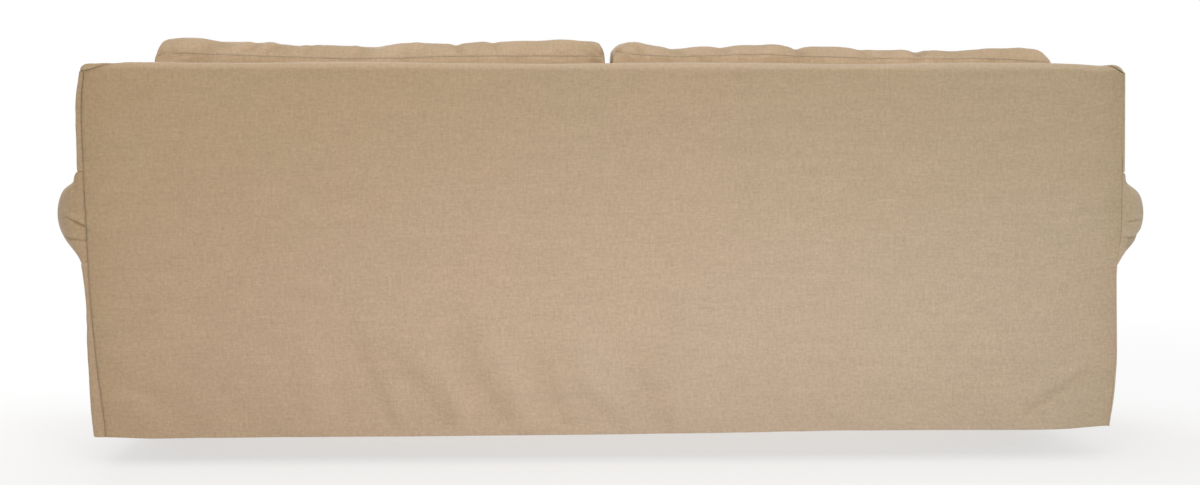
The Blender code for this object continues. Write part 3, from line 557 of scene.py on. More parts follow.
def side_path(side, z, bulge, front, share, pinch=0.0):
    """x and y along a side panel: flat from its rear seam, round the corner, then forward.

    A bulge adds a quarter of a superellipse in plan, from nothing at the rear to its full size at
    the front. A pinch takes a share of it away towards the rear.
    """
    corner = CORNERS[side]
    rear, half, seam = (
        np.asarray(value)[:, None] for value in (rear_y(z), half_width(side, z), seam_x(side, z)))
    front, bulge = front[:, None], bulge[:, None]
    flat = half - corner - seam - SEAM_GAPS[side]
    arc = corner * math.pi / 2
    along = share[None, :] * (flat + arc + rear - corner - front)
    angle = np.clip((along - flat) / corner, 0.0, math.pi / 2)
    x = np.minimum(seam + SEAM_GAPS[side] + along, half - corner) + corner * np.sin(angle)
    y = rear - corner * (1.0 - np.cos(angle)) - np.maximum(along - flat - arc, 0.0)
    reach = np.clip((y - front) / (rear - front), 0.0, 1.0)
    dome = (1.0 - reach ** DOME) ** (1.0 / DOME)
    return x + bulge * dome * (1.0 - pinch * np.sqrt(reach)), y


def join(x, y, z):
    """One grid of points from three arrays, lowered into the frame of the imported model."""
    return np.stack(np.broadcast_arrays(x, y, z - TOP), axis=-1)


def on_side(grid, side):
    """Mirror a grid made for the left side where it belongs on the right."""
    if side == "left":
        return grid
    return grid[:, ::-1] * np.array([-1.0, 1.0, 1.0])


# ---- cloth from grids --------------------------------------------------------------------
def lengths(points):
    """Distance along the cloth of every grid point: u from the left edge, v from the lower one."""
    u = np.zeros(points.shape[:2])
    v = np.zeros(points.shape[:2])
    u[:, 1:] = np.cumsum(np.linalg.norm(np.diff(points, axis=1), axis=-1), axis=1)
    v[1:] = np.cumsum(np.linalg.norm(np.diff(points, axis=0), axis=-1), axis=0)
    return u, v


def outward(points):
    """Unit normals of a grid: the way along its rows crossed with the way up its columns."""
    across = np.gradient(points, axis=1)
    up = np.gradient(points, axis=0)
    normal = np.cross(across, up)
    return normal / np.maximum(np.linalg.norm(normal, axis=-1, keepdims=True), 1e-12)


def dip(distance):
    """How far the cloth rolls in beside a seam: a quarter round whose radius is the depth."""
    depth = settings().seam_depth
    inside = np.clip(1.0 - distance / (1.6 * depth), 0.0, 1.0)
    return depth * (1.0 - np.sqrt(1.0 - inside ** 2))


def puckers(along, distance, seed):
    """Small uneven waves that run in from a seam and fade: nothing at the seam itself."""
    wave = ripple(along, 0.25 * distance, PUCKER_LENGTH, seed)
    rise = 1.0 - np.exp(-distance / 0.0025)
    return settings().pucker * wave * rise * np.exp(-distance / PUCKER_REACH)


def sew(points, relief, sewn, seed, extra=None):
    """Push a grid out along its normals by relief, with dips and puckers along its sewn edges.

    Sewn names the edges that are seams. Extra is the distance to one more seam that isn't an edge.
    Returns the points and their distance to the nearest seam.
    """
    u, v = lengths(points)
    edges = {"left": u, "right": u[:, -1:] - u, "low": v, "high": v[-1:] - v}
    nearest = np.full(u.shape, 1.0)
    rise = relief + settings().ripple * ripple(u, v, 0.42, seed)
    chosen = [(edges[name], v if name in ("left", "right") else u) for name in sewn]
    if extra is not None:
        chosen.append((extra, u))
    for number, (distance, along) in enumerate(chosen):
        rise = rise + puckers(along, distance, seed + 7 * number + 1)
        nearest = np.minimum(nearest, distance)
    rise = rise - dip(nearest)
    return points + outward(points) * rise[..., None], nearest


def turn_hem(points, seam):
    """Add the hem's turned-up cloth below a grid: half round under its lower edge, then up inside.

    Returns the longer grid, its distances to a seam, and each point's distance up from the hem.
    """
    u, v = lengths(points)
    wave = ripple(u, v, 0.05, 90) * HEM_WAVE * np.exp(-v / 0.02)
    stitch = STITCH_DIP * np.exp(-((v - HEM_STITCH) / 0.0014) ** 2)
    points = points + outward(points) * (wave - stitch)[..., None]
    down = points[:1] - points[1:2]
    down = down / np.linalg.norm(down, axis=-1, keepdims=True)
    inward = -outward(points)[:1]
    angle = np.array([180.0, 120.0, 60.0]) * math.pi / 180.0
    turn = points[:1] + HEM_TURN * (
        down * np.sin(angle)[:, None, None] + inward * (1.0 - np.cos(angle))[:, None, None])
    up = np.array([HEM_DEPTH, HEM_STITCH, 0.012, 0.004])[:, None, None]
    inside = points[:1] + 2.0 * HEM_TURN * inward - down * up
    hem = np.concatenate([np.repeat(-up[:, :, 0], v.shape[1], axis=1), np.zeros((3, v.shape[1])), v])
    grid = np.concatenate([inside, turn, points])
    return grid, np.concatenate([np.repeat(seam[:1], 7, axis=0), seam]), hem


def face_grid(rows, columns):
    """Quads of a grid whose columns run left to right and rows up, seen from outside."""
    index = np.arange(rows * columns).reshape(rows, columns)
    return np.stack([index[:-1, :-1], index[:-1, 1:], index[1:, 1:], index[1:, :-1]], axis=-1)


def painted_highlight(places):
    """How strong the painted highlight is: a bell over the distance from the middle of the oval."""
    x = (places[..., 0] - HIGHLIGHT_MIDDLE[0]) / HIGHLIGHT_SIZE[0]
    z = (places[..., 2] + TOP - HIGHLIGHT_MIDDLE[1]) / HIGHLIGHT_SIZE[1]
    return np.exp(-x ** 2 - z ** 2)


def cooled(places):
    """The drift of hue across the cover, from -0.5 on its warm side to 0.5."""
    return np.clip(-places[..., 0] / COOL_REACH, -1.0, 1.0) / 2


def worn(normals):
    """Painted light from above: how much lighter the cloth is, more the more it faces up, with a painted
    highlight on the very top.
    """
    return 0.55 * smooth(normals[..., 2] / 0.5) + 0.45 * np.clip(normals[..., 2], 0.0, 1.0) ** 8


def add_piece(name, places, quads, material, values, corner_uv):
    """A mesh object from arrays, with point values and a weave map in metres."""
    mesh = bpy.data.meshes.new(name)
    mesh.from_pydata(places.tolist(), [], quads.tolist())
    for key, value in values.items():
        layer = mesh.attributes.new(key, "FLOAT", "POINT")
        layer.data.foreach_set("value", np.ascontiguousarray(value, dtype=np.float32).ravel())
    weave = mesh.uv_layers.new(name="weave")
    weave.data.foreach_set("uv", np.ascontiguousarray(corner_uv, dtype=np.float32).ravel())
    mesh.shade_smooth()
    mesh.materials.append(material)
    piece = bpy.data.objects.new(name, mesh)
    bpy.context.scene.collection.objects.link(piece)
    return piece


def add_cloth(node, points, seam, hem=None, keep=None, shade=None):
    """One panel of the cover: a sheet over a grid, thickened outwards, in place of a CAD node."""
    u, v = lengths(points)
    quads = face_grid(*points.shape[:2])
    quads = quads.reshape(-1, 4) if keep is None else quads[keep]
    used, inverse = np.unique(quads, return_inverse=True)
    uv = np.stack([u - u.mean(), v], axis=-1).reshape(-1, 2)
    # These values carry painted light: the painted highlight, painted light where the cloth faces up, and
    # painted shade.
    values = {"bleach": painted_highlight(points).ravel()[used], "cool": cooled(points).ravel()[used],
              "worn": worn(outward(points)).ravel()[used], "seam": seam.ravel()[used],
              "hem": (np.full(seam.shape, 1.0) if hem is None else hem).ravel()[used],
              "shade": (np.zeros(seam.shape) if shade is None else shade).ravel()[used]}
    piece = add_piece(
        node + "_cloth", points.reshape(-1, 3)[used], inverse.reshape(-1, 4),
        linen("cover_linen", settings().cover_colour), values, uv[quads.ravel()])
    thick = piece.modifiers.new("cloth", "SOLIDIFY")
    thick.thickness = settings().cloth
    thick.offset = 1.0
    thick.use_quality_normals = True
    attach(piece, "root")
    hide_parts(node)
    corners = points.reshape(-1, 3)[quads]
    diagonals = np.cross(corners[:, 2] - corners[:, 0], corners[:, 3] - corners[:, 1])
    area = 0.5 * np.linalg.norm(diagonals, axis=-1).sum()
    flat = (round(float(u.max()), 3), round(float(v.max()), 3))
    area = min(round(float(area), 4), flat[0] * flat[1])
    return piece


# ---- the linen ---------------------------------------------------------------------------
LINEN_SURFACE = {
    "Roughness": 0.62, "Specular IOR Level": 0.25, "Sheen Weight": 0.06, "Sheen Roughness": 0.45}
WANDER_SCALE = 22.0         # the threads wander this often in a metre
WANDER = 0.004              # and this far
# Width and length of the streaks in the weave, along its two ways.
WARP_SLUBS = (0.0032, 0.040)
WEFT_SLUBS = (0.034, 0.0030)
FINE_SLUBS = (0.0072, 0.0064)
BARS = (0.26, 0.016)
MOTTLE = (0.09, 0.05)
LONG_SLUBS = 0.60           # weight of the long slubs beside the fine ones
SLUB_MEAN = 1.10            # mean of their sum
DRIFT_SCALE = 3.2           # waves of the slow drift in a metre
DRIFTS = ((1.02, 0.985, 0.97), (0.985, 1.01, 1.0))      # its warm end and its cold end
HIGHLIGHT_AND_PALE_COLOUR = (0.140, 0.108, 0.109)   # what the painted highlight adds to the colour at the most; on the cushions, their even paleness
COOL_TINT = (-0.0875, 0.0, 0.055)       # share by which the cool side's colour changes
SHADE_TINT = (0.0, 0.1, 0.6)            # tint of the painted shade: a ridge is less yellow and a trough more
LINT = (0.030, 0.030, 0.026)            # what a slub adds to the colour
SEAM_DIRT_AND_SHADE_FADE = -700.0          # how fast the dirt and painted shade along a seam fade, for each metre
STITCH_HALF = 0.0006        # half width of the row of stitches
STITCH_PITCH = 0.0042       # distance from stitch to stitch
STITCH_GAP = -0.4           # the sine of the pitch below which there is no thread
# How much lighter or darker the cloth is at a full slub, and so on.
SLUB_LIGHT = 0.65
# painted light on cloth that faces up
PAINTED_OVERHEAD_LIGHT = 0.36
# dirt and painted shade along the seams
SEAM_DIRT_AND_SHADE = 0.50
THREAD_LIGHT = 0.10
THREAD_MEAN = 0.4
STITCH_LIGHT = 0.06
BAR_LIGHT = 0.09
# The relief: heights beside that of a thread, and the bump node's two numbers.
SLUB_HEIGHT = 1.2
STITCH_HEIGHT = 1.5
BUMP_STRENGTH = 0.35
BUMP_DEPTH = 0.0006
CUSHION_BLEACH = 0.3        # how bleached the cushions are


def add_node(tree, kind, inputs=None, **options):
    """One node of a material; an input is a number, a colour or another node's output."""
    made = tree.nodes.new(kind)
    for key, value in options.items():
        setattr(made, key, value)
    for key, value in (inputs or {}).items():
        if isinstance(value, bpy.types.NodeSocket):
            tree.links.new(value, made.inputs[key])
        else:
            made.inputs[key].default_value = value
    return made


def maths(tree, operation, *values):
    """The output of one Math node."""
    return add_node(tree, "ShaderNodeMath", dict(enumerate(values)), operation=operation).outputs[0]


def vectors(tree, operation, first, second):
    """The output of one Vector Math node; SCALE takes a number as its second value."""
    key = "Scale" if operation == "SCALE" else 1
    return add_node(tree, "ShaderNodeVectorMath", {0: first, key: second}, operation=operation).outputs[0]


def noise(tree, place, scale, detail, **more):
    """A flat noise texture: its value is the first output and its colour the second."""
    return add_node(
        tree, "ShaderNodeTexNoise", {"Vector": place, "Scale": scale, "Detail": detail, **more},
        noise_dimensions="2D").outputs


def attribute(tree, key):
    """The value that a piece's mesh has under a name."""
    return add_node(tree, "ShaderNodeAttribute", attribute_name=key).outputs[2]


def streaks(tree, weave, size):
    """Noise drawn out along the threads: each streak is about size[0] wide and size[1] long."""
    scale = (1.0 / size[0], 1.0 / size[1], 1.0)
    place = add_node(tree, "ShaderNodeMapping", {"Vector": weave, "Scale": scale}).outputs[0]
    return noise(tree, place, 1.0, 3.0, Roughness=0.6)[0]


def linen_tone(tree, plain, colour):
    """The linen's colour before its threads: a slow drift, with a painted highlight, cooled, and tinted by
    the painted shade of folds.
    """
    warm, cold = ([channel * share for channel, share in zip(colour, drift)] + [1.0] for drift in DRIFTS)
    drift = noise(tree, plain, DRIFT_SCALE, 3.0)[0]
    tone = add_node(tree, "ShaderNodeMix", {0: drift, 6: warm, 7: cold}, data_type="RGBA").outputs[2]
    # Painted highlight: a pale add in the oval low on the back; on the cushions an even paleness.
    pale = vectors(tree, "SCALE", HIGHLIGHT_AND_PALE_COLOUR, attribute(tree, "bleach"))
    tone = vectors(tree, "ADD", tone, pale)
    hue = vectors(tree, "SCALE", COOL_TINT, attribute(tree, "cool"))
    hue = vectors(tree, "ADD", hue, (1.0, 1.0, 1.0))
    tint = vectors(tree, "SCALE", SHADE_TINT, attribute(tree, "shade"))
    hue = vectors(tree, "ADD", hue, tint)
    return vectors(tree, "MULTIPLY", tone, hue)


def linen_stitches(tree, along):
    """1 on the hem's stitches and 0 beside them."""
    from_hem = maths(tree, "ABSOLUTE", attribute(tree, "hem"))
    from_row = maths(tree, "ABSOLUTE", maths(tree, "SUBTRACT", from_hem, HEM_STITCH))
    row = maths(tree, "LESS_THAN", from_row, STITCH_HALF)
    wave = maths(tree, "SINE", maths(tree, "MULTIPLY", along, 2.0 * math.pi / STITCH_PITCH))
    return maths(tree, "MULTIPLY", row, maths(tree, "GREATER_THAN", wave, STITCH_GAP))


def linen(name, colour):
    """Plain-weave linen: slubby threads both ways, a slow drift of tone, painted light and shade, and
    stitched seams darkened by dirt and painted shade.
    """
    if name in bpy.data.materials:
        return bpy.data.materials[name]
    material = bpy.data.materials.new(name)
    material.use_nodes = True
    tree = material.node_tree
    shader = tree.nodes["Principled BSDF"]
    for key, value in LINEN_SURFACE.items():
        shader.inputs[key].default_value = value
    plain = add_node(tree, "ShaderNodeUVMap", uv_map="weave").outputs[0]
    wander = vectors(tree, "ADD", noise(tree, plain, WANDER_SCALE, 1.0)[1], (-0.5, -0.5, -0.5))
    weave = vectors(tree, "ADD", plain, vectors(tree, "SCALE", wander, WANDER))
    parts = add_node(tree, "ShaderNodeSeparateXYZ", {0: weave}).outputs
    turn = math.pi / settings().pitch
    warp, weft = (
        maths(tree, "ABSOLUTE", maths(tree, "SINE", maths(tree, "MULTIPLY", parts[axis], turn)))
        for axis in (0, 1))
    threads = maths(tree, "MULTIPLY", warp, weft)
    slubs = maths(tree, "ADD", streaks(tree, weave, WARP_SLUBS), streaks(tree, weave, WEFT_SLUBS))
    slubs = maths(tree, "MULTIPLY", slubs, LONG_SLUBS)
    slubs = maths(tree, "ADD", slubs, streaks(tree, weave, FINE_SLUBS))
    slubs = maths(tree, "SUBTRACT", slubs, SLUB_MEAN)
    tone = linen_tone(tree, plain, colour)
    # Dirt and painted shade along the seams.
    seam_dirt_and_shade = maths(tree, "EXPONENT", maths(tree, "MULTIPLY", attribute(tree, "seam"), SEAM_DIRT_AND_SHADE_FADE))
    stitch = linen_stitches(tree, parts[0])
    bars = maths(tree, "SUBTRACT", streaks(tree, weave, BARS), 0.5)
    mottle = maths(tree, "SUBTRACT", streaks(tree, weave, MOTTLE), 0.5)
    light = maths(tree, "ADD", 1.0, maths(tree, "MULTIPLY", slubs, settings().slub * SLUB_LIGHT))
    # Painted light where the cloth faces up.
    light = maths(tree, "ADD", light, maths(tree, "MULTIPLY", attribute(tree, "worn"), PAINTED_OVERHEAD_LIGHT))
    light = maths(tree, "SUBTRACT", light, maths(tree, "MULTIPLY", seam_dirt_and_shade, SEAM_DIRT_AND_SHADE))
    between = maths(tree, "SUBTRACT", THREAD_MEAN, threads)
    light = maths(tree, "SUBTRACT", light, maths(tree, "MULTIPLY", between, THREAD_LIGHT))
    light = maths(tree, "ADD", light, maths(tree, "MULTIPLY", stitch, STITCH_LIGHT))
    # Painted shade of the folds and creases, with painted light along the top edge.
    light = maths(tree, "ADD", light, attribute(tree, "shade"))
    uneven = maths(tree, "MULTIPLY", maths(tree, "ADD", bars, mottle), BAR_LIGHT)
    light = maths(tree, "ADD", light, uneven)
    lint = vectors(tree, "SCALE", LINT, slubs)
    tree.links.new(
        vectors(tree, "ADD", vectors(tree, "SCALE", tone, light), lint), shader.inputs["Base Color"])
    height = maths(tree, "ADD", threads, maths(tree, "MULTIPLY", slubs, SLUB_HEIGHT))
    height = maths(tree, "ADD", height, maths(tree, "MULTIPLY", stitch, STITCH_HEIGHT))
    bump = add_node(
        tree, "ShaderNodeBump", {"Height": height, "Strength": BUMP_STRENGTH, "Distance": BUMP_DEPTH})
    tree.links.new(bump.outputs[0], shader.inputs["Normal"])
    return material


# ---- the cover's panels ------------------------------------------------------------------
def outside_back():
    """The outside back, from the hem up over the rear edge, with its folds.

    Rows are even distances along the cloth; near the hem and the top seam they follow those lines.
    """
    across = spread(2.28, 0.0085)[None, :]
    arc = REAR_ROUND * math.pi / 2
    low = arc + TOP - REAR_ROUND - HEMS[1].mean()
    body = np.linspace(low, 0.045, 100)
    over = np.linspace(0.045, TOP_SEAM + EDGE_STEPS[-1], 16)[1:]
    near = TOP_SEAM + EDGE_STEPS[-2::-1]
    nominal = np.concatenate([low - HEM_STEPS, body[1:], over, near])[:, None]
    lean = 1.0 - across * 2.0
    x_at = lean * np.where(lean > 0, seam_x("left", 0.5), seam_x("right", 0.5))
    hem = arc + TOP - REAR_ROUND - hem_height(x_at)
    distance = nominal + (hem - low) * (1.0 - smooth((low - nominal) / 0.12))
    drop = top_seam(x_at) + 2 * TRIM - TOP_SEAM
    distance = distance + drop * (1.0 - smooth((nominal - TOP_SEAM) / 0.05))
    y, z = rear_profile(distance)
    left, right = (seam_x(side, z) - SEAM_GAPS[side] for side in SIDES)
    x = lean * np.where(lean > 0, left, right)
    points = raised(join(x, y, z))
    edge = np.where(x > 0, seam_x("left", z), seam_x("right", z)) - np.abs(x)
    drag = ripple(x + 1.1 * z, 0.25 * z, DRAG_LENGTH, 17) * np.exp(-(z - HEM_FRONT) / DRAG_REACH)
    drag = DRAG * drag * (0.35 + 0.65 * np.exp(-((x - 0.2) / 0.5) ** 2)) * smooth((z - HEM_FRONT) / 0.02)
    relief = (fold_height(BACK_FOLDS, x, z) + drag) * np.clip(edge / FOLD_MARGIN, 0.0, 1.0)
    # Painted shade: ridges lighter and troughs darker, and the cloth darker towards the side seams.
    shade = FOLD_SHADE * relief - PAINTED_SIDE_SHADE * np.exp(-edge / PAINTED_SIDE_SHADE_REACH)
    # Painted light and highlight along the top edge, where the cloth faces up.
    rising = np.clip(outward(points)[..., 2], 0.0, 1.0)
    shade = shade + PAINTED_TOP_HIGHLIGHT * (rising ** 0.8 + rising ** 8)
    points, seam = sew(points, relief, ("left",), 11, extra=corner_only(points, -1))
    points, seam, hem = turn_hem(points, seam)
    shade = np.concatenate([np.repeat(shade[:1], points.shape[0] - shade.shape[0], axis=0), shade])
    add_cloth("outside_back", points, seam, hem, shade=shade)


def shoulders_and_main(half_left, half_right, main, shoulder):
    """x of each row of the inside back: even between the inside arms, then out over the shoulders."""
    inner = ARMS["left"].x - ARM_WIDTH
    half_left, half_right = np.asarray(half_left)[..., None], np.asarray(half_right)[..., None]
    left = inner + shoulder[::-1] * (half_left - inner)
    middle = np.broadcast_to(np.linspace(inner, -inner, main), half_left.shape[:-1] + (main,))
    right = -inner - shoulder * (half_right - inner)
    return np.concatenate([left, middle, right], axis=-1)


def arm_line(x):
    """Lower edge of the inside back above the arms: the roll's outline."""
    lines = {}
    for side, sign in SIDES.items():
        arm = ARMS[side]
        offset = np.clip((sign * x - arm.x) / ARM_WIDTH, -1.0, 1.0)
        lines[side] = arm.z + ARM_RISE * np.sqrt(1.0 - offset ** 2)
    return np.where(x > 0, lines["left"], lines["right"])


def inside_back():
    """The inside back: from the top seam over the top and down to the deck, with two shoulders.

    The top turns down at the sides as a quarter oval, and over the front edge as a quarter round.
    """
    main = 150
    shoulder = spread(0.117, 0.006, start=False)[1:]
    turned = np.clip((shoulder - 0.75) / 0.25, 0.0, 1.0)
    turn = TOP_CORNER * (1.0 - np.sqrt(1.0 - turned ** 2))
    side_drop = np.concatenate([turn[::-1], np.zeros(main), turn])
    corner_z = TOP - TOP_CORNER
    left, right = half_width("left", corner_z) - TRIM, half_width("right", corner_z) - TRIM

    def both(edge_drop):
        """Drop of a point that turns down at a side and over an edge at once."""
        left_over = (1.0 - side_drop / TOP_CORNER) * (1.0 - np.minimum(edge_drop / TOP_CORNER, 1.0))
        return np.where(edge_drop < TOP_CORNER, TOP_CORNER * (1.0 - left_over), edge_drop)

    rows = []
    seam_side = seam_x("left", corner_z)
    seam_right = seam_x("right", corner_z)
    for share in (1.0, 0.88, 0.74, 0.60, 0.45, 0.30, 0.15):
        half_left = seam_side + (left - seam_side) * (1.0 - share)
        half_right = seam_right + (right - seam_right) * (1.0 - share)
        x = shoulders_and_main(half_left, half_right, main, shoulder)
        y, z = rear_profile((top_seam(x) - 2 * TRIM) * share)
        y = y - 0.6 * (1.0 - share) * REAR_ROUND * side_drop / TOP_CORNER
        rows.append(join(x, y, TOP - both(TOP - z)))
    x = shoulders_and_main(left, right, main, shoulder)
    for y in np.linspace(REAR_TOP - REAR_ROUND - 0.004, FRONT_TOP + FRONT_ROUND, 13):
        rows.append(join(x, y, TOP - side_drop))
    for angle in np.radians(np.linspace(10.0, 74.0, 8)):
        y = FRONT_TOP + FRONT_ROUND * (1.0 - math.sin(angle))
        rows.append(join(x, y, TOP - both(FRONT_ROUND * (1.0 - math.cos(angle)))))
    upper = TOP - FRONT_ROUND * (1.0 - math.cos(math.radians(80.0)))
    foot = arm_line(x)
    for share in spread(0.18, 0.010, start=False):
        z = upper + (foot + TUCK - upper) * share
        half = [half_width(side, z[end]) - TRIM for side, end in (("left", 0), ("right", -1))]
        x = shoulders_and_main(*half, main, shoulder)
        rows.append(join(x, inner_y(z), z))
    split = len(rows)
    for share in np.linspace(0.0, 1.0, 22)[1:]:
        z = foot + (DECK + TUCK - foot) * share
        rows.append(join(x, inner_y(z), z))
    points = raised(np.stack(rows)[::-1, ::-1])
    keep = np.ones((points.shape[0] - 1, points.shape[1] - 1), dtype=bool)
    cut = points.shape[0] - split
    keep[:cut, :shoulder.size] = False
    keep[:cut, -shoulder.size:] = False
    points, seam = sew(points, np.zeros(points.shape[:2]), (), 23, extra=corner_only(points, -1))
    add_cloth("inside_back", points, seam, keep=keep)


def back_side(side):
    """The strip on the back's side, from the arm up to the top panel."""
    arm = ARMS[side]
    foot = arm.z + ARM_RISE * math.sin(roll_top_angle(side)) + TUCK
    head = TOP - TOP_CORNER - 2 * TRIM
    z = foot + (head - foot) * spread(head - foot, 0.007)
    share = spread(0.24, 0.006)
    x, y = side_path(side, z, np.zeros(z.size), inner_y(z) + TRIM, share)
    close = smooth((y - inner_y(foot)) / 0.12) * (1.0 - smooth((z[:, None] - foot) / 0.02))
    z = z[:, None] - (TUCK - 6 * TRIM) * close
    points = on_side(join(x, y, z)[:, ::-1], side)
    edges = ("left", "right", "high") if side == "left" else ("right", "high")
    points, seam = sew(points, np.zeros(x.shape), edges, 31 + SIDES[side])
    add_cloth("back_side_" + side, points, seam)


def arm(side):
    """The inside arm: up from the deck, over the roll and round to the seam underneath."""
    roll = ARMS[side]
    top = roll_top_angle(side)
    reach = 0.5 * (ARM_WIDTH + ARM_RISE)
    over = np.linspace(math.pi, top, 28)[:-1]
    outer = top + (ARM_UNDER[side] - top) * spread((top - ARM_UNDER[side]) * reach, 0.007, start=False)
    straight = np.linspace(DECK + TUCK, roll.z, 30)[:-1]
    angle = np.concatenate([over, outer])
    x, z = roll_section(roll, angle)
    x = np.concatenate([np.full(straight.size, roll.x - ARM_WIDTH), x])
    z = np.concatenate([straight, z])
    stop = np.full(z.size, TUCK)
    stop[straight.size + over.size + 1:] = TRIM
    rear = inner_y(z) - stop
    start = FRONT + settings().seam_depth
    y = start + (rear - start) * spread(0.7, 0.008)[:, None]
    points = join(x, y, z)
    _, around = lengths(points.transpose(1, 0, 2))
    relief = fold_height(ARM_FOLDS, y, np.broadcast_to(around[:, :1].T, y.shape))
    relief = relief * smooth((y - FRONT) / 0.05) * smooth((rear - y) / 0.05)
    points, seam = sew(
        on_side(points, side), on_side(relief[..., None] * np.ones(3), side)[..., 1],
        ("low", "high", "right" if side == "left" else "left"), 41 + SIDES[side])
    add_cloth("arm_" + side, points, seam)


def arm_rear(side):
    """The facing on the rear end of the roll: a dome with creases across it."""
    roll = ARMS[side]
    top = roll_top_angle(side)
    under = ARM_UNDER[side]
    angle = under + (top - under) * spread((top - under) * 0.1, 0.0018)
    roll_x, z = roll_section(roll, angle)
    z = np.concatenate([z, z[-1] + FLAP])
    roll_x = np.concatenate([roll_x, half_width(side, z[-FLAP.size:])])
    angle = np.concatenate([angle, np.full(FLAP.size, top)])
    bulge = np.maximum(roll_x - half_width(side, z), 0.0)
    share = np.concatenate([
        EDGE_STEPS, np.arange(0.0112, FACING_FINE_END, FACING_FINE),
        np.linspace(FACING_FINE_END, FACING_LENGTH - EDGE_STEPS[-1], 24),
        FACING_LENGTH - EDGE_STEPS[-2::-1]]) / FACING_LENGTH
    from_low = (angle - under) * ARM_RISE
    most, height, over = PINCH_TOP[side]
    pinch = most * np.exp(-((z - height) / over) ** 2)
    most, over = PINCH_LOW[side]
    pinch = pinch + most * np.exp(-(from_low / over) ** 2)
    x, y = side_path(side, z, bulge, inner_y(z) + 2 * TRIM, share, pinch[:, None])
    relief = fold_height(REAR_FACING_FOLDS[side], x, np.broadcast_to(z[:, None], x.shape))
    relief = relief * smooth(share / 0.015) * (angle < top)[:, None]
    inset = FLAP_DEPTH * smooth((z - z[-FLAP.size - 1] + 0.002) / 0.004)[:, None]
    y = y - inset * smooth((y - inner_y(z[-1])) / 0.03)
    points = join(x - inset, y, z[:, None])[:, ::-1]
    relief = relief[:, ::-1] if side == "left" else relief
    # Painted shade: the creases' troughs darker and ridges lighter, and the whole facing darker than the
    # back.
    shade = CREASE_SHADE * relief - PAINTED_FACING_SHADE
    edges = ("left", "right") if side == "left" else ("right",)
    points, seam = sew(on_side(points, side), relief, edges, 51 + SIDES[side])
    add_cloth("arm_rear_" + side, points, seam, shade=shade)


def arm_outside(side):
    """The panel below the roll, from the rear seam round the corner to the front, with its hem."""
    roll = ARMS[side]
    top = roll_section(roll, ARM_UNDER[side])[1] - TUCK
    corner_hem = float(hem_height(SIDES[side] * half_width(side, HEM_FRONT)))
    rows = np.concatenate([HEM_STEPS, np.linspace(0.006, top - corner_hem - EDGE_STEPS[-1], 46)])
    z = corner_hem + np.concatenate([rows, top - corner_hem - EDGE_STEPS[-2::-1], top - corner_hem + FLAP])
    start = FRONT + settings().seam_depth
    share = spread(0.95, 0.009)
    x, y = side_path(side, z, np.zeros(z.size), np.full(z.size, start), share)
    ease = np.clip((REAR_TOP - y) / (REAR_TOP - FRONT), 0.0, 1.0)
    hang = (top - z[:, None]) / (top - corner_hem)
    inset = FLAP_DEPTH * smooth((z - top + 0.002) / 0.004)[:, None]
    x = x - inset
    y = y - inset * smooth((y - FRONT) / 0.03)
    close = smooth(y / 0.05) * (1.0 - smooth((top - z[:, None]) / 0.02))
    z = z[:, None] + (HEM_FRONT - corner_hem) * ease * hang + (TUCK - 5 * TRIM) * close
    relief = fold_height(OUTSIDE_FOLDS, y + 0.03 * SIDES[side], z)
    relief = relief * smooth((y - FRONT) / 0.06) * smooth((0.0 - y) / 0.06)
    points = on_side(join(x, y, z)[:, ::-1], side)
    relief = relief[:, ::-1] if side == "left" else relief
    edges = ("left", "right") if side == "left" else ("right",)
    points, seam = sew(points, relief, edges, 61 + SIDES[side])
    points, seam, hem = turn_hem(points, seam)
    add_cloth("arm_outside_" + side, points, seam, hem)


def arm_front(side):
    """The facing on the arm's front, a little padded: rows run from post to post and up the roll."""
    roll = ARMS[side]
    angle = ARM_UNDER[side] + (math.pi / 2 - ARM_UNDER[side]) * spread(0.27, 0.005, start=False)
    outer, high = roll_section(roll, angle)
    low = np.concatenate([HEM_FRONT + HEM_STEPS, np.linspace(0.068, high[0], 52)[:-1]])
    z = np.concatenate([low, high])
    outer = np.concatenate([half_width(side, low), outer]) - TRIM
    inner_angle = np.arcsin(np.clip((z - roll.z) / ARM_RISE, 0.0, 1.0))
    inner = roll.x - ARM_WIDTH * np.cos(inner_angle) + TRIM
    inner = np.minimum(inner, roll.x - 0.0005)
    outer = np.maximum(outer, roll.x + 0.0005)
    share = spread(0.2, 0.005)[None, :]
    x = inner[:, None] + (outer - inner)[:, None] * share
    relief = fold_height(FRONT_FACING_FOLDS, x, np.broadcast_to(z[:, None], x.shape))
    width = (outer - inner)[:, None]
    room = np.minimum(np.minimum(share, 1.0 - share) * width, (roll.z + ARM_RISE - z)[:, None])
    padding = 0.006 * smooth(room / 0.05)
    y = FRONT - padding - relief * smooth(room / 0.03)
    points = on_side(join(x, y, z[:, None]), side)
    rim = on_side(np.repeat(room[..., None], 3, axis=-1), side)[..., 1]
    points, seam = sew(points, np.zeros(x.shape), (), 71 + SIDES[side], extra=np.maximum(rim, 0.0))
    points, seam, hem = turn_hem(points, seam)
    add_cloth("arm_front_" + side, points, seam, hem)


def seat_deck():
    """The flat panel that the seat cushions lie on."""
    left, right = ARMS["left"].x - ARM_WIDTH - TRIM, ARM_WIDTH - ARMS["right"].x + TRIM
    x = np.linspace(right, left, 60)
    rear = inner_y(DECK) - TRIM
    start = FRONT + settings().seam_depth
    y = start + (rear - start) * spread(0.7, 0.02)[:, None]
    points, seam = sew(join(x, y, DECK), np.zeros((y.size, x.size)), ("low",), 81)
    points[..., 2] = np.minimum(points[..., 2], DECK - TOP)
    add_cloth("seat_deck", points, seam)


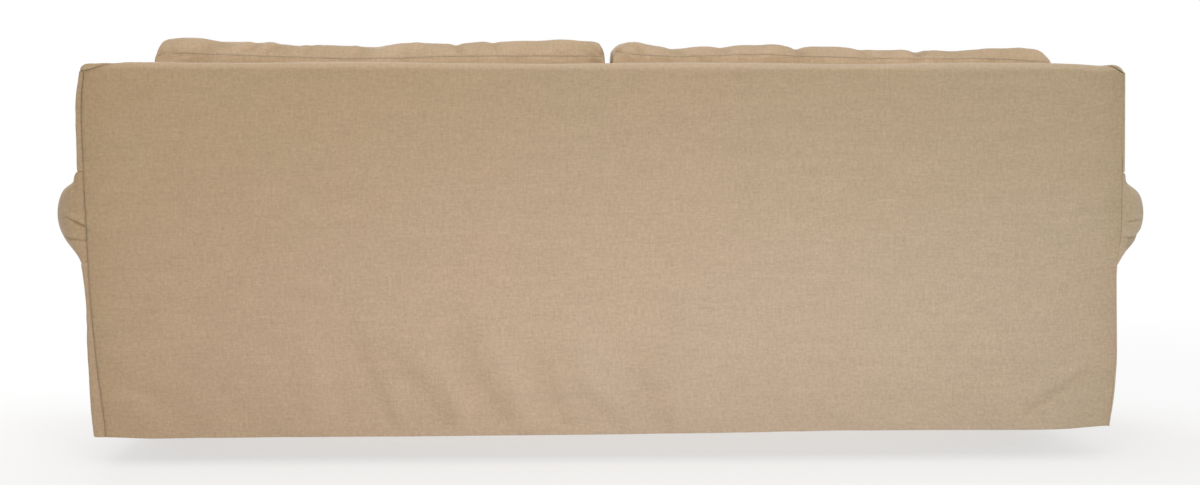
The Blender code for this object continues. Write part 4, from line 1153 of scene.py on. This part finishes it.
def front_border():
    """The panel across the front below the deck, with its hem."""
    left, right = ARMS["left"].x - ARM_WIDTH - TRIM, ARM_WIDTH - ARMS["right"].x + TRIM
    x = right + (left - right) * spread(left - right, 0.012)
    head = DECK - TRIM
    z = np.concatenate([
        HEM_FRONT + HEM_STEPS, np.linspace(0.068, head - EDGE_STEPS[-1], 26),
        head - EDGE_STEPS[-2::-1]])[:, None]
    relief = fold_height(BORDER_FOLDS, *np.broadcast_arrays(x, z))
    points, seam = sew(join(x, FRONT, z), relief, ("left", "right", "high"), 85)
    points, seam, hem = turn_hem(points, seam)
    add_cloth("front_border", points, seam, hem)


# ---- the cushions ------------------------------------------------------------------------
def graded(count, ease=0.55):
    """Places from -1 to 1, closer together at both ends: t less ease sin(2 pi t) over 2 pi."""
    t = np.linspace(0.0, 1.0, count + 1)
    return 2.0 * (t - ease * np.sin(2.0 * math.pi * t) / (2.0 * math.pi)) - 1.0


def box_lattice(counts):
    """Points on a box's six faces, as whole steps, with its quads facing out; shared edges merged."""
    corners = []
    for axis in range(3):
        first, second = (axis + 1) % 3, (axis + 2) % 3
        i, j = np.meshgrid(np.arange(counts[first]), np.arange(counts[second]), indexing="ij")
        for end in (0, counts[axis]):
            around = [(0, 0), (1, 0), (1, 1), (0, 1)]
            around = around if end else around[::-1]
            quad = np.zeros(i.shape + (4, 3), dtype=int)
            for number, (di, dj) in enumerate(around):
                quad[..., number, first] = i + di
                quad[..., number, second] = j + dj
                quad[..., number, axis] = end
            corners.append(quad.reshape(-1, 3))
    corners = np.concatenate(corners)
    lattice, quads = np.unique(corners, axis=0, return_inverse=True)
    return lattice, quads.reshape(-1, 4)


def cushion_form(a, b, c, half, corners):
    """A flat boxed form: a runs across, b through the boxing and c along; a and c have round corners.

    The corners' radii are given for its inner and its outer end. Beyond a corner's centre a point
    moves in, so that the square of the corner becomes a quarter disc.
    """
    x, z = a * half[0], c * half[2]
    corner = np.where(a < 0.0, *corners)
    over_x = np.maximum(np.abs(x) - (half[0] - corner), 0.0)
    over_z = np.maximum(np.abs(z) - (half[2] - corner), 0.0)
    scale = np.maximum(over_x, over_z) / np.maximum(np.hypot(over_x, over_z), 1e-9)
    scale = np.where((over_x > 0) & (over_z > 0), scale, 1.0)
    x = np.sign(x) * (np.abs(x) - over_x + over_x * scale)
    z = np.sign(z) * (np.abs(z) - over_z + over_z * scale)
    return np.stack([x, b * half[1], z], axis=-1)


def read_vectors(mesh, kind="vertices", key="co", size=3):
    """One of a mesh's arrays."""
    data = getattr(mesh, kind)
    flat = np.zeros(len(data) * size, dtype=np.float32)
    data.foreach_get(key, flat)
    return flat.reshape(-1, size).astype(float)


def fill(name, places, quads, pressure, limit):
    """Blow a closed form up as cloth under pressure, without gravity, and cap each point's move."""
    mesh = bpy.data.meshes.new(name)
    mesh.from_pydata(places.tolist(), [], quads.tolist())
    form = bpy.data.objects.new(name, mesh)
    bpy.context.scene.collection.objects.link(form)
    cloth = form.modifiers.new("fill", "CLOTH")
    cloth.settings.quality = 6
    cloth.settings.mass = 0.25
    cloth.settings.tension_stiffness = 22.0
    cloth.settings.compression_stiffness = 6.0
    cloth.settings.shear_stiffness = 6.0
    cloth.settings.bending_stiffness = 0.3
    cloth.settings.use_pressure = True
    cloth.settings.uniform_pressure_force = pressure
    cloth.settings.effector_weights.gravity = 0.0
    cloth.point_cache.frame_start = 1
    cloth.point_cache.frame_end = SIM_FRAMES
    scene = bpy.context.scene
    for number in range(1, SIM_FRAMES + 1):
        scene.frame_set(number)
    seen = form.evaluated_get(bpy.context.evaluated_depsgraph_get()).to_mesh()
    moved = read_vectors(seen) - places
    form.evaluated_get(bpy.context.evaluated_depsgraph_get()).to_mesh_clear()
    scene.frame_set(1)
    bpy.data.objects.remove(form)
    size = np.linalg.norm(moved, axis=-1, keepdims=True)
    return places + moved * np.minimum(1.0, limit / np.maximum(size, 1e-9))


def make_cushion(node, counts, half, corners, place_in):
    """A filled cushion: a flat form is filled, subdivided once, finished and set in place.

    place_in turns the finished local points into places in the row frame.
    """
    lattice, quads = box_lattice(counts)
    grades = [graded(count) for count in counts]
    a, b, c = (grades[axis][lattice[:, axis]] for axis in range(3))
    places = cushion_form(a, b, c, half, corners)
    places = fill(node + "_form", places, quads, settings().pressure, settings().swell)
    size = np.array(half)
    spots = np.stack([a, b, c], axis=-1) * size
    across = (np.abs(spots[quads]).min(axis=1) > size - 1e-6)
    uv = np.where(across[:, None, 0:1], spots[quads][..., [1, 2]], spots[quads][..., [0, 2]])
    uv = np.where(across[:, None, 2:3], spots[quads][..., [0, 1]], uv)
    piece = add_piece(
        node + "_filled", places, quads, linen("cushion_linen", settings().cushion_colour),
        {"place_a": a, "place_b": b, "place_c": c}, uv.reshape(-1, 2))
    finer = piece.modifiers.new("finer", "SUBSURF")
    finer.levels = 1
    finer.render_levels = 1
    seen = bpy.context.evaluated_depsgraph_get()
    fine = bpy.data.meshes.new_from_object(piece.evaluated_get(seen), depsgraph=seen)
    piece.modifiers.remove(finer)
    coarse = piece.data
    piece.data = fine
    bpy.data.meshes.remove(coarse)
    fine.name = node + "_filled"
    spot = np.stack([read_layer(fine, key) for key in ("place_a", "place_b", "place_c")], axis=-1)
    points = read_vectors(fine)
    normals = read_vectors(fine, "vertex_normals", "vector")
    points, seam, shade = place_in(spot, points, normals)
    fine.vertices.foreach_set("co", points.astype(np.float32).ravel())
    none = np.zeros(len(seam))
    values = {"bleach": none + CUSHION_BLEACH, "seam": seam, "hem": none + 1.0, "shade": shade,
              "cool": none, "worn": none}
    for key, value in values.items():
        layer = fine.attributes.new(key, "FLOAT", "POINT")
        layer.data.foreach_set("value", value.astype(np.float32))
    fine.update()
    fine.shade_smooth()
    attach(piece, "root")
    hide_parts(node)
    return piece


def read_layer(mesh, key):
    """The values of a mesh's point attribute."""
    flat = np.zeros(len(mesh.vertices), dtype=np.float32)
    mesh.attributes[key].data.foreach_get("value", flat)
    return flat.astype(float)


def rim_distance(spot, half, face_axis):
    """Distance along the cloth from the two sewn rims where the boxing meets a face.

    On a face it's the way in from the edge; on the boxing it's the way in from the rim.
    """
    size = np.array(half)
    inward = (1.0 - np.abs(spot)) * size
    others = [axis for axis in range(3) if axis != face_axis]
    on_face = inward[:, others].min(axis=1)
    return np.maximum(inward[:, face_axis], 0.0) + np.where(inward[:, face_axis] < 1e-4, on_face, 0.0)


def rim_points(spot, end):
    """For every point, which point of one of the two sewn rims stands beside it on the boxing."""
    key = np.rint(spot[:, 0] * 4000) * 10000 + np.rint(spot[:, 2] * 4000)
    rim = np.flatnonzero((spot[:, 1] * end > 0.999) & (np.abs(spot[:, [0, 2]]).max(axis=1) > 0.999))
    rim = rim[np.argsort(key[rim])]
    return rim[np.minimum(np.searchsorted(key[rim], key), rim.size - 1)]


def fit_lines(x, z, spot, lines):
    """Bring a cushion's top to its lines: its rear seam by a lift, then the boxing above that seam.

    From the rear seam the boxing climbs steeply and levels off to its crown; from there it rounds
    over to the front seam. The change fades out down the ends. Returns the new x and z.
    """
    rim = (spot[:, 1] > 0.999) & (spot[:, 2] > 0.999)
    order = np.argsort(x[rim])
    lift = np.interp(x, lines[0], lines[1]) - np.interp(x, x[rim][order], z[rim][order])
    z = z + lift * smooth(spot[:, 2] / 0.9)
    boxing = np.abs(spot[:, [0, 2]]).max(axis=1) > 0.999
    rear, front = rim_points(spot, 1.0), rim_points(spot, -1.0)
    crown = np.interp(x[rear], lines[0], lines[2])
    crown = z[rear] + (crown - z[rear]) * smooth((z[rear] - CROWN_FROM) / CROWN_FADE)
    run = np.clip((1.0 - spot[:, 1]) / CROWN_RUN, 0.0, 1.0)
    climb = z[rear] + (crown - z[rear]) * (1.0 - (1.0 - run) ** 1.6)
    over = np.clip(-spot[:, 1], 0.0, 1.0)
    fall = z[front] + (crown - z[front]) * (1.0 - over ** 2.6) ** 0.6
    share = boxing * smooth((spot[:, 2] - 0.55) / 0.35)
    z = z + (np.where(spot[:, 1] > 0.0, climb, fall) - z) * share
    return x + (x[rear] - x) * share, z


def back_cushion(side):
    """A boxed cushion that leans on the inside back and stands on the seat cushion."""
    sign = SIDES[side]
    lean = math.atan(FRONT_SLOPE)
    foot = DECK + CLOTH + SEAT_GAP + SEAT_HEIGHT + SEAT_CROWN + 2 * SEAT_GAP
    length = (CUSHION_SEAM - foot) / math.cos(lean)
    rest_y = inner_y(foot) - CLOTH / math.cos(lean) - SEAT_GAP
    inner, outer = BACK_SPANS[side]
    middle = (outer + inner) / 2
    half = ((outer - inner) / 2 - SEAM_ROOM, CUSHION_BOXING / 2 - SWELL_ROOM, length / 2 - SWELL_ROOM)

    def place_in(spot, points, normals):
        """Sewn rims, drag lines and crown, then the lean against the back."""
        rim = rim_distance(spot, half, 1)
        wave = ripple(points[:, 0] + 1.1 * points[:, 1], 0.4 * points[:, 2], BACK_DRAG.length, 101 + sign)
        slow = ripple(points[:, 0], points[:, 2], BACK_SLOW.length, 111 + sign)
        rise = BACK_DRAG.height * wave * np.exp(-rim / BACK_DRAG.reach)
        rise = rise + BACK_SLOW.height * slow - dip(rim) * RIM_DIP
        points = points + normals * rise[:, None]
        stretch = (half[0] + SEAM_ROOM) / np.abs(points[:, 0]).max()
        x = sign * middle + sign * points[:, 0] * stretch
        depth = np.maximum(half[1] + SWELL_ROOM - points[:, 1], 0.0)
        up = points[:, 2] + length / 2
        y = rest_y - depth * math.cos(lean) + up * math.sin(lean)
        tilt = np.clip(spot[:, 2] + 1.0, 0.0, 2.0) / 2
        tilt = tilt * (1.0 - FRONT_DROP * smooth((spot[:, 2] - 0.4) / 0.6))
        z = foot + up * math.cos(lean) + depth * math.sin(lean) * tilt
        z = np.maximum(z, foot + 0.0002)
        along, z = fit_lines(sign * x, z, spot, BACK_CUSHION_LINES[side])
        x = sign * along
        y = y - RIM_ROLL * smooth((z - RIM_FROM) / 0.055) * (spot[:, 1] + 1.0) / 2
        crease = CREASE_GAIN * fold_height(BACK_CUSHION_FOLDS[side], sign * x, z)
        pucker = ripple(x, 0.5 * rim, BACK_PUCKER.length, 121 + sign) * np.exp(-rim / BACK_PUCKER.reach)
        crease = crease + BACK_PUCKER.height * pucker * (1.0 - np.exp(-rim / 0.002))
        crease = crease + BACK_UNEVEN.height * ripple(x + z, 0.3 * rim, BACK_UNEVEN.length, 151 + sign)
        crease = crease * smooth((spot[:, 1] + 0.2) / 0.6) * (spot[:, 2] > 0.5)
        y = y + crease * np.where(spot[:, 2] > 0.999, 0.5, 0.9)
        z = z + crease * np.where(spot[:, 2] > 0.999, 0.9, 0.3) * (1.0 - np.exp(-rim / 0.006))
        # The third value is painted shade: lighter on a crease's ridges, darker in its troughs.
        return join(x, y, z), rim, CUSHION_SHADE * crease

    make_cushion("back_cushion_" + side, BACK_COUNTS, half, BACK_ROUNDS[side], place_in)


def seat_cushion(side):
    """A boxed cushion that lies on the deck, crowned on top."""
    sign = SIDES[side]
    foot = DECK + CLOTH + SEAT_GAP
    middle_x = (SEAT_OUTER + SEAT_INNER) / 2
    middle_y = (SEAT_REAR + SEAT_FRONT) / 2
    half_height = SEAT_HEIGHT / 2 - 0.002
    form_half = (
        (SEAT_OUTER - SEAT_INNER) / 2 - SEAM_ROOM, half_height, (SEAT_REAR - SEAT_FRONT) / 2 - SWELL_ROOM)

    def place_in(spot, points, normals):
        """Sewn rims and a soft unevenness; flat where it lies on the deck."""
        rim = rim_distance(spot, form_half, 1)
        wave = ripple(points[:, 0] + 0.8 * points[:, 1], points[:, 2] * 0.4, SEAT_DRAG.length, 131 + sign)
        slow = ripple(points[:, 0], points[:, 2], SEAT_SLOW.length, 141 + sign)
        rise = SEAT_DRAG.height * wave * np.exp(-rim / SEAT_DRAG.reach)
        rise = rise + SEAT_SLOW.height * slow - dip(rim) * RIM_DIP
        points = points + normals * rise[:, None]
        x = sign * middle_x + sign * points[:, 0]
        y = middle_y - points[:, 2]
        z = np.clip(foot + half_height + 0.002 + points[:, 1], foot, foot + SEAT_HEIGHT + SEAT_CROWN)
        return join(x, y, z), rim, 0.0 * rim

    make_cushion("seat_cushion_" + side, SEAT_COUNTS, form_half, (SEAT_ROUND, SEAT_ROUND), place_in)


# ---- the stage ---------------------------------------------------------------------------
# The soft lights: their places and the points they look at, above the floor, and their sizes.
# The settings hold their power under the same names.
Lamp = namedtuple("Lamp", "name place aim size")
LAMPS = (
    Lamp("high_light", (0.0, 3.5, 2.8), (0.0, 0.0, 0.6), (2.4, 1.2)),
    Lamp("key_light", (-1.3, 4.7, 1.25), (0.0, 0.0, 0.4), (1.4, 0.9)),
    Lamp("top_light", (0.0, -1.2, 3.4), (0.0, -0.3, 0.6), (3.2, 1.4)),
    Lamp("side_light", (4.0, -0.3, 1.3), (1.1, 0.0, 0.6), (2.0, 1.6)),
    Lamp("side_light", (-4.0, -0.3, 1.3), (-1.1, 0.0, 0.6), (2.0, 1.6)),
    Lamp("front_light", (1.6, -4.4, 2.0), (0.0, 0.0, 0.4), (2.6, 2.2)),
)
FLOOR_REACH = 40.0          # half of the floor's width
FLOOR_SHADE = 0.93          # lightness of the floor
FLOOR_GLOW = 0.62           # share of it that glows near the cover, to keep its shadow faint
GLOW_FROM, GLOW_TO = 1.5, 5.0   # distances over which the glow grows to the whole
CAMERA_PLACE = (0.1994, 4.58, 0.6996)
CAMERA_YAW = math.radians(2.363)
CAMERA_PITCH = math.radians(2.589)
SENSOR_WIDTH = 36.0         # of the camera, in millimetres


def area_light(name, place, aim, size, power):
    """A soft light that looks at a point."""
    lamp = bpy.data.lights.new(name, "AREA")
    lamp.shape = "RECTANGLE"
    lamp.size, lamp.size_y = size
    lamp.energy = power
    thing = bpy.data.objects.new(name, lamp)
    thing.location = place
    away = np.array(place) - np.array(aim)
    flat = math.hypot(away[0], away[1])
    thing.rotation_euler = (math.atan2(flat, away[2]), 0.0, math.atan2(away[0], -away[1]))
    bpy.context.scene.collection.objects.link(thing)
    return thing


def make_stage():
    """Pale floor, white room, soft lights and the camera."""
    scene = bpy.context.scene
    scene.view_settings.view_transform = "Standard"
    world = bpy.data.worlds.new("studio")
    scene.world = world
    world.use_nodes = True
    tree = world.node_tree
    back = tree.nodes["Background"]
    path = add_node(tree, "ShaderNodeLightPath").outputs["Is Camera Ray"]
    strength = maths(tree, "ADD", settings().sky, maths(tree, "MULTIPLY", path, 1.0 - settings().sky))
    tree.links.new(strength, back.inputs["Strength"])
    back.inputs["Color"].default_value = (1.0, 1.0, 1.0, 1.0)
    mesh = bpy.data.meshes.new("floor")
    corners = [(-1.0, -1.0), (1.0, -1.0), (1.0, 1.0), (-1.0, 1.0)]
    mesh.from_pydata([(x * FLOOR_REACH, y * FLOOR_REACH, -TOP) for x, y in corners], [], [(0, 1, 2, 3)])
    floor = bpy.data.objects.new("floor", mesh)
    scene.collection.objects.link(floor)
    paint = bpy.data.materials.new("pale_floor")
    paint.use_nodes = True
    tree = paint.node_tree
    shader = tree.nodes["Principled BSDF"]
    shader.inputs["Base Color"].default_value = (FLOOR_SHADE, FLOOR_SHADE, FLOOR_SHADE, 1.0)
    shader.inputs["Roughness"].default_value = 0.9
    shader.inputs["Specular IOR Level"].default_value = 0.0
    place = add_node(tree, "ShaderNodeTexCoord").outputs["Object"]
    far = add_node(tree, "ShaderNodeVectorMath", {0: place}, operation="LENGTH").outputs[1]
    far = add_node(
        tree, "ShaderNodeMapRange",
        {"Value": far, "From Min": GLOW_FROM, "From Max": GLOW_TO, "To Min": FLOOR_GLOW},
        interpolation_type="SMOOTHSTEP").outputs[0]
    glow = add_node(tree, "ShaderNodeEmission", {"Color": (1.0, 1.0, 1.0, 1.0)})
    mixed = add_node(tree, "ShaderNodeMixShader", {0: far, 1: shader.outputs[0], 2: glow.outputs[0]})
    tree.links.new(mixed.outputs[0], tree.nodes["Material Output"].inputs[0])
    mesh.materials.append(paint)
    for lamp in LAMPS:
        place, aim = ((spot[0], spot[1], spot[2] - TOP) for spot in (lamp.place, lamp.aim))
        area_light(lamp.name, place, aim, lamp.size, getattr(settings(), lamp.name))
    camera_data = bpy.data.cameras.new("camera")
    camera_data.lens = settings().lens
    camera_data.sensor_width = SENSOR_WIDTH
    camera = bpy.data.objects.new("camera", camera_data)
    camera.location = (CAMERA_PLACE[0], CAMERA_PLACE[1], CAMERA_PLACE[2] - TOP)
    camera.rotation_euler = (math.pi / 2 - CAMERA_PITCH, 0.0, math.pi - CAMERA_YAW)
    scene.collection.objects.link(camera)
    scene.camera = camera


# ---- operators and panel -----------------------------------------------------------------
def both_sides(make):
    """Make a piece on each side."""
    for side in SIDES:
        make(side)


class SLIPCOVER_OT_stage(Operator):
    """Lay the floor, hang the lights and set the camera up"""
    bl_idname = "slipcover.stage"
    bl_label = "Stage"

    def execute(self, context):
        make_stage()
        return {"FINISHED"}


class SLIPCOVER_OT_outside_back(Operator):
    """Sew the outside back"""
    bl_idname = "slipcover.outside_back"
    bl_label = "Outside back"

    def execute(self, context):
        outside_back()
        return {"FINISHED"}


class SLIPCOVER_OT_inside_back(Operator):
    """Sew the inside back and the top"""
    bl_idname = "slipcover.inside_back"
    bl_label = "Inside back"

    def execute(self, context):
        inside_back()
        return {"FINISHED"}


class SLIPCOVER_OT_back_sides(Operator):
    """Sew the strips on the back's two sides"""
    bl_idname = "slipcover.back_sides"
    bl_label = "Back sides"

    def execute(self, context):
        both_sides(back_side)
        return {"FINISHED"}


class SLIPCOVER_OT_arms(Operator):
    """Sew the inside arms, over the rolls"""
    bl_idname = "slipcover.arms"
    bl_label = "Inside arms"

    def execute(self, context):
        both_sides(arm)
        return {"FINISHED"}


class SLIPCOVER_OT_arm_outsides(Operator):
    """Sew the panels below the rolls"""
    bl_idname = "slipcover.arm_outsides"
    bl_label = "Outside arms"

    def execute(self, context):
        both_sides(arm_outside)
        return {"FINISHED"}


class SLIPCOVER_OT_facings(Operator):
    """Sew the facings on the arms' rear and front ends"""
    bl_idname = "slipcover.facings"
    bl_label = "Arm facings"

    def execute(self, context):
        both_sides(arm_rear)
        both_sides(arm_front)
        return {"FINISHED"}


class SLIPCOVER_OT_seat(Operator):
    """Sew the deck and the front border"""
    bl_idname = "slipcover.seat"
    bl_label = "Deck and border"

    def execute(self, context):
        seat_deck()
        front_border()
        return {"FINISHED"}


class SLIPCOVER_OT_back_cushions(Operator):
    """Fill the two back cushions"""
    bl_idname = "slipcover.back_cushions"
    bl_label = "Back cushions"

    def execute(self, context):
        both_sides(back_cushion)
        return {"FINISHED"}


class SLIPCOVER_OT_seat_cushions(Operator):
    """Fill the two seat cushions"""
    bl_idname = "slipcover.seat_cushions"
    bl_label = "Seat cushions"

    def execute(self, context):
        both_sides(seat_cushion)
        return {"FINISHED"}


STEPS = (
    SLIPCOVER_OT_stage, SLIPCOVER_OT_outside_back, SLIPCOVER_OT_inside_back, SLIPCOVER_OT_back_sides,
    SLIPCOVER_OT_arms, SLIPCOVER_OT_arm_outsides, SLIPCOVER_OT_facings, SLIPCOVER_OT_seat,
    SLIPCOVER_OT_back_cushions, SLIPCOVER_OT_seat_cushions,
)


class SLIPCOVER_PT_panel(Panel):
    """Sidebar panel with the settings and one button for each step"""
    bl_idname = "SLIPCOVER_PT_panel"
    bl_label = "Slipcover"
    bl_space_type = "VIEW_3D"
    bl_region_type = "UI"
    bl_category = "Slipcover"

    def draw(self, context):
        for name in SlipcoverSettings.__annotations__:
            self.layout.prop(context.scene.slipcover, name)
        for step in STEPS:
            self.layout.operator(step.bl_idname)


CLASSES = (SlipcoverSettings, *STEPS, SLIPCOVER_PT_panel)


def register():
    """Add the classes and the scene's settings."""
    for item in CLASSES:
        bpy.utils.register_class(item)
    bpy.types.Scene.slipcover = PointerProperty(type=SlipcoverSettings)


def unregister():
    """Take the settings and the classes away again."""
    del bpy.types.Scene.slipcover
    for item in reversed(CLASSES):
        bpy.utils.unregister_class(item)


def main():
    """Run every step in order."""
    register()
    for step in STEPS:
        getattr(bpy.ops.slipcover, step.bl_idname.split(".")[1])()
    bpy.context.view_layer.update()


if __name__ == "__main__":
    main()
